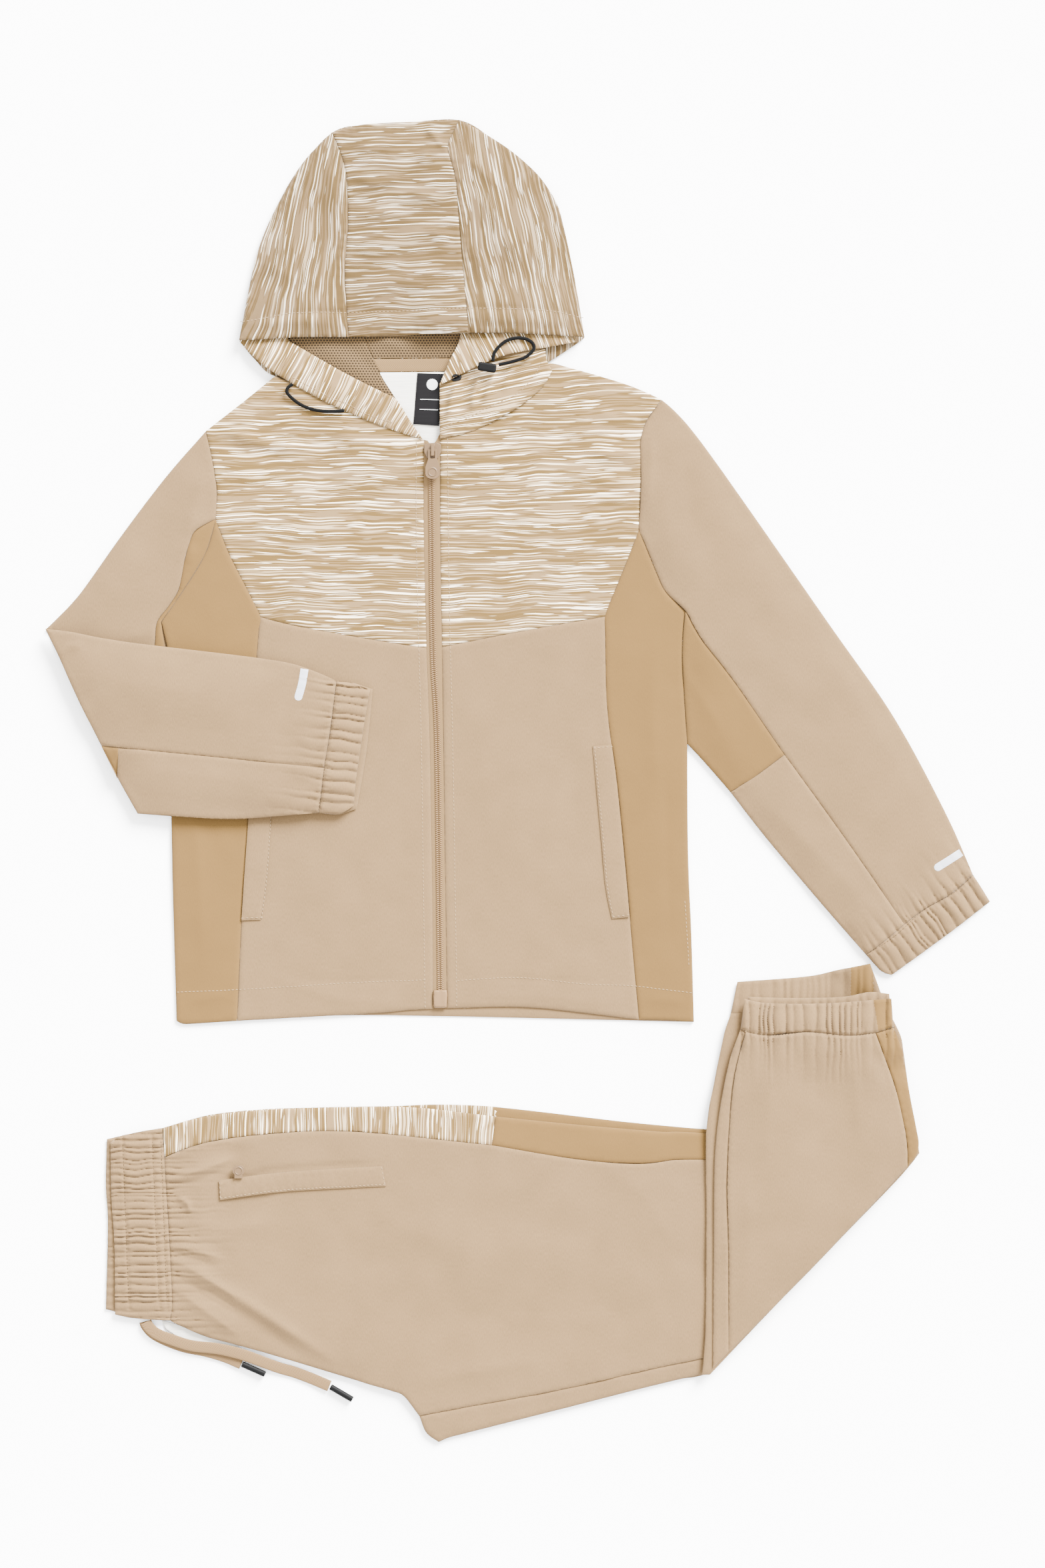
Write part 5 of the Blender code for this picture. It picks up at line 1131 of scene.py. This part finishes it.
ring_mesh = bpy.data.meshes.new("eyelet")
ring_mesh.from_pydata((np.array(ring_points) * MM).tolist(), [], ring_faces)
ring_mesh.shade_smooth()
eyelet = shown("eyelet", ring_mesh, eyelet_look)
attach(eyelet, "garment")
# The eyelet's opening is not cut. A flat black disc in the ring's finish fills it, as painted shade in the
# hole.
hole = [(EYELET["middle"][0] + 3.0 * math.cos(a), EYELET["middle"][1] + 2.2 * math.sin(a)) for a in around]
patch_on("eyelet_hole_painted_shade", hole, EYELET["hole"], eyelet_look, ["collar_right", "band_right"])

# The trousers' legs, folded one on the other: beige front and back panels, and a side panel that is
# printed as far as the pocket's end and ochre below it. The under leg shows only along its edges.
WAIST = dict(start=(-275, -430), end=(-278, -276), count=32, fade=20, height=2.5, seed=21,
             rows=(((-313.9, -283), (-308.3, -420)), ((-290.4, -282), (-284, -422)),
                   ((-283.5, -282), (-278, -422))))
LEG_FOLDS = (
    (((-278, -382), (-265, -385), (-235, -403), (-200, -425), (-160, -452), (-143, -464)), 2.6, 5),
    (((-276, -392), (-240, -412), (-205, -434), (-170, -458)), -1.8, 5),
    (((-278, -318), (-250, -309), (-222, -299)), 1.9, 4),
    (((-276, -324), (-250, -316), (-230, -309)), -1.0, 4),
    (((-278, -370), (-255, -374), (-232, -381)), 1.8, 4),
    (((-276, -376), (-255, -381), (-238, -387)), -1.0, 4),
    (((-271, -332), (-262, -336), (-260, -344)), 1.7, 2.6),
    (((-242, -316.5), (-214, -315.0), (-198, -310.8), (-157.7, -307.4), (-104, -304.4)), -1.8, 1.8),
    (((-262, -352), (-230, -356), (-190, -352)), 1.0, 7),
    (((-276, -402), (-250, -420), (-215, -446)), 1.4, 5),
    (((-270, -290), (-240, -287), (-200, -290)), 0.9, 5),
    (((-120, -350), (-40, -368), (60, -372)), 1.3, 24),
    (((-60, -420), (20, -430), (110, -420)), -1.2, 20),
    (((60, -300), (100, -330), (130, -380)), 1.0, 16),
    (((-80, -480), (-40, -470), (20, -462)), 1.0, 8),
)


def faced(piece, look, inside):
    """The panels sewn in at one side of a piece: another cloth on the faces inside a region."""
    piece.data.materials.append(look)
    for face in piece.data.polygons:
        if inside(face.center.x / MM, face.center.y / MM):
            face.material_index = len(piece.data.materials) - 1


under_leg = lay("leg_under", print_look, flow=(90, 0.0), puckers=0.15)
faced(under_leg, ochre_look, lambda x, y: x > -17 - 0.12 * (y + 268))
faced(under_leg, beige_look, lambda x, y: y < -330 or x > 150)
lay("leg_front", beige_look, soften=26, waves=0.45, fine=(ends_of(WAIST), 50, 1.1),
    relief=lambda at, off: folded(LEG_FOLDS)(at, off) + gathered(at, **WAIST))
lay("leg_side_print", print_look, step=2.2, flow=(90, 0.0), puckers=0.2)
lay("leg_side", ochre_look)
lay("leg_back", beige_look,
    relief=folded([(((-100, -520), (0, -506), (120, -482)), 0.5, 7)]))

# The waistband: elastic in a beige casing, gathered by three rows of stitches into deep even pleats.
# The elastic pulls in the top of the front panel too. Its back layer shows at the left.
lay("waistband_back", beige_look, wall=1.0, step=1.6, soften=30, full=1.25,
    relief=lambda at, off: gathered(at, (-275, -428), (-278, -284), 28, 10, 1.7, 22))
lay("waistband", beige_look, step=1.0, soften=46, full=1.25, roll=0.8,
    relief=lambda at, off: gathered(at, **WAIST))
bead_row("waist_stitches", [((-313.5, -290), (-308.9, -412)), ((-290.0, -288), (-284.6, -414)),
                            ((-283.2, -288), (-278.6, -414))], ["waistband", "leg_front"], painted_shade_stitch_look, "beige",
         **ELASTIC_ROW, lift=0.02)

# A narrow grey strip in the pale slub cloth's look, under the waistband's foot by the place where
# the cords come out. It is painted shade standing for the floor seen in shadow there, not a lining.
PAINTED_FLOOR_SHADE = ((-283, -430), (-262, -435), (-240, -442), (-221, -450.5), (-232, -452.5), (-250, -449.5),
               (-268, -444.5), (-280, -437))
patch_on("waist_floor_painted_shade", PAINTED_FLOOR_SHADE, -2.2, lining_looks["lining"], ["leg_under"], thick=0.6)

# The trouser pocket: a beige welt over a concealed zip, stitched all round. The pull's ring stands up
# at the welt's left end.
POCKET_STITCHES = (((-235, -331.8), (-190, -325.9), (-130, -322.4), (-106, -321.0)),
                   ((-105.4, -320.2), (-107.6, -308.4)), ((-236.4, -320.2), (-236.0, -331.0)))
lay("trouser_pocket_welt", beige_look, wall=1.0, step=1.8, roll=0.4, puckers=0.25, soften=4)
bead_row("pocket_stitches", POCKET_STITCHES, ["trouser_pocket_welt", "leg_front"], thread_look, "beige",
         STITCH["pitch"], STITCH["size"], 0, 0.02)

# The lower legs, turned up over a diagonal fold at the knee: beige front and back with an ochre side
# panel, each ending in a gathered elastic cuff. The other leg lies under the upper one.
LEG_CUFF = dict(start=(178, -199), end=(299, -199), count=19, fade=20, height=3.0, seed=31,
                rows=(((177.2, -197.6), (200, -202.3), (231, -199.7), (262.3, -202.3), (284.8, -200.2),
                       (298.6, -196)),))
LOW_LEG_FOLDS = dict(
    low_leg_front=(
        (((204, -208), (200, -250), (196, -320)), 0.7, 9),
        (((236, -208), (240, -260), (236, -330)), -0.6, 10),
        (((262, -208), (268, -240), (272, -290)), 0.7, 7),
        (((300, -300), (260, -350), (200, -420)), 0.7, 16),
        (((180, -300), (184, -360), (178, -440)), 0.5, 8),
    ),
    low_leg_back=(
        (((170, -220), (160, -280), (158, -380)), 0.4, 5),
    ),
    low_leg_side=(
        (((290, -200), (298, -215), (306, -240)), 0.5, 4),
    ),
)
lay("low_leg_under", beige_look, wall=1.0, grow=0.9)
under_cuff = lay("cuff_leg_under", beige_look, wall=1.0, step=1.5, grow=0.9, soften=30,
                 full=1.25,
                 relief=lambda at, off: gathered(at, (171, -186), (297, -186), 18, 10, 1.8, 33))
faced(under_cuff, ochre_look, lambda x, y: 265 < x < 283)
lay("cuff_leg_back", beige_look, wall=1.3, step=1.5, soften=30, full=1.25,
    relief=lambda at, off: gathered(at, (178, -189), (299, -189), 16, 10, 1.8, 32))
for node, folds in LOW_LEG_FOLDS.items():
    side = node == "low_leg_side"
    lay(node, ochre_look if side else beige_look, waves=0.45, soften=26,
        relief=lambda at, off, folds=folds: folded(folds)(at, off) + gathered(at, **LEG_CUFF),
        fine=(ends_of(LEG_CUFF), 42, 1.1))
leg_cuff = lay("cuff_leg", beige_look, step=1.0, soften=40, full=1.25, roll=0.8,
               relief=lambda at, off: gathered(at, **LEG_CUFF))
faced(leg_cuff, ochre_look, lambda x, y: x > 282.5 - 0.14 * (y + 172))
bead_row("cuff_leg_stitches", LEG_CUFF["rows"], ["low_leg_front", "low_leg_back", "low_leg_side", "cuff_leg"],
         painted_shade_stitch_look, "beige", **ELASTIC_ROW, lift=0.02)
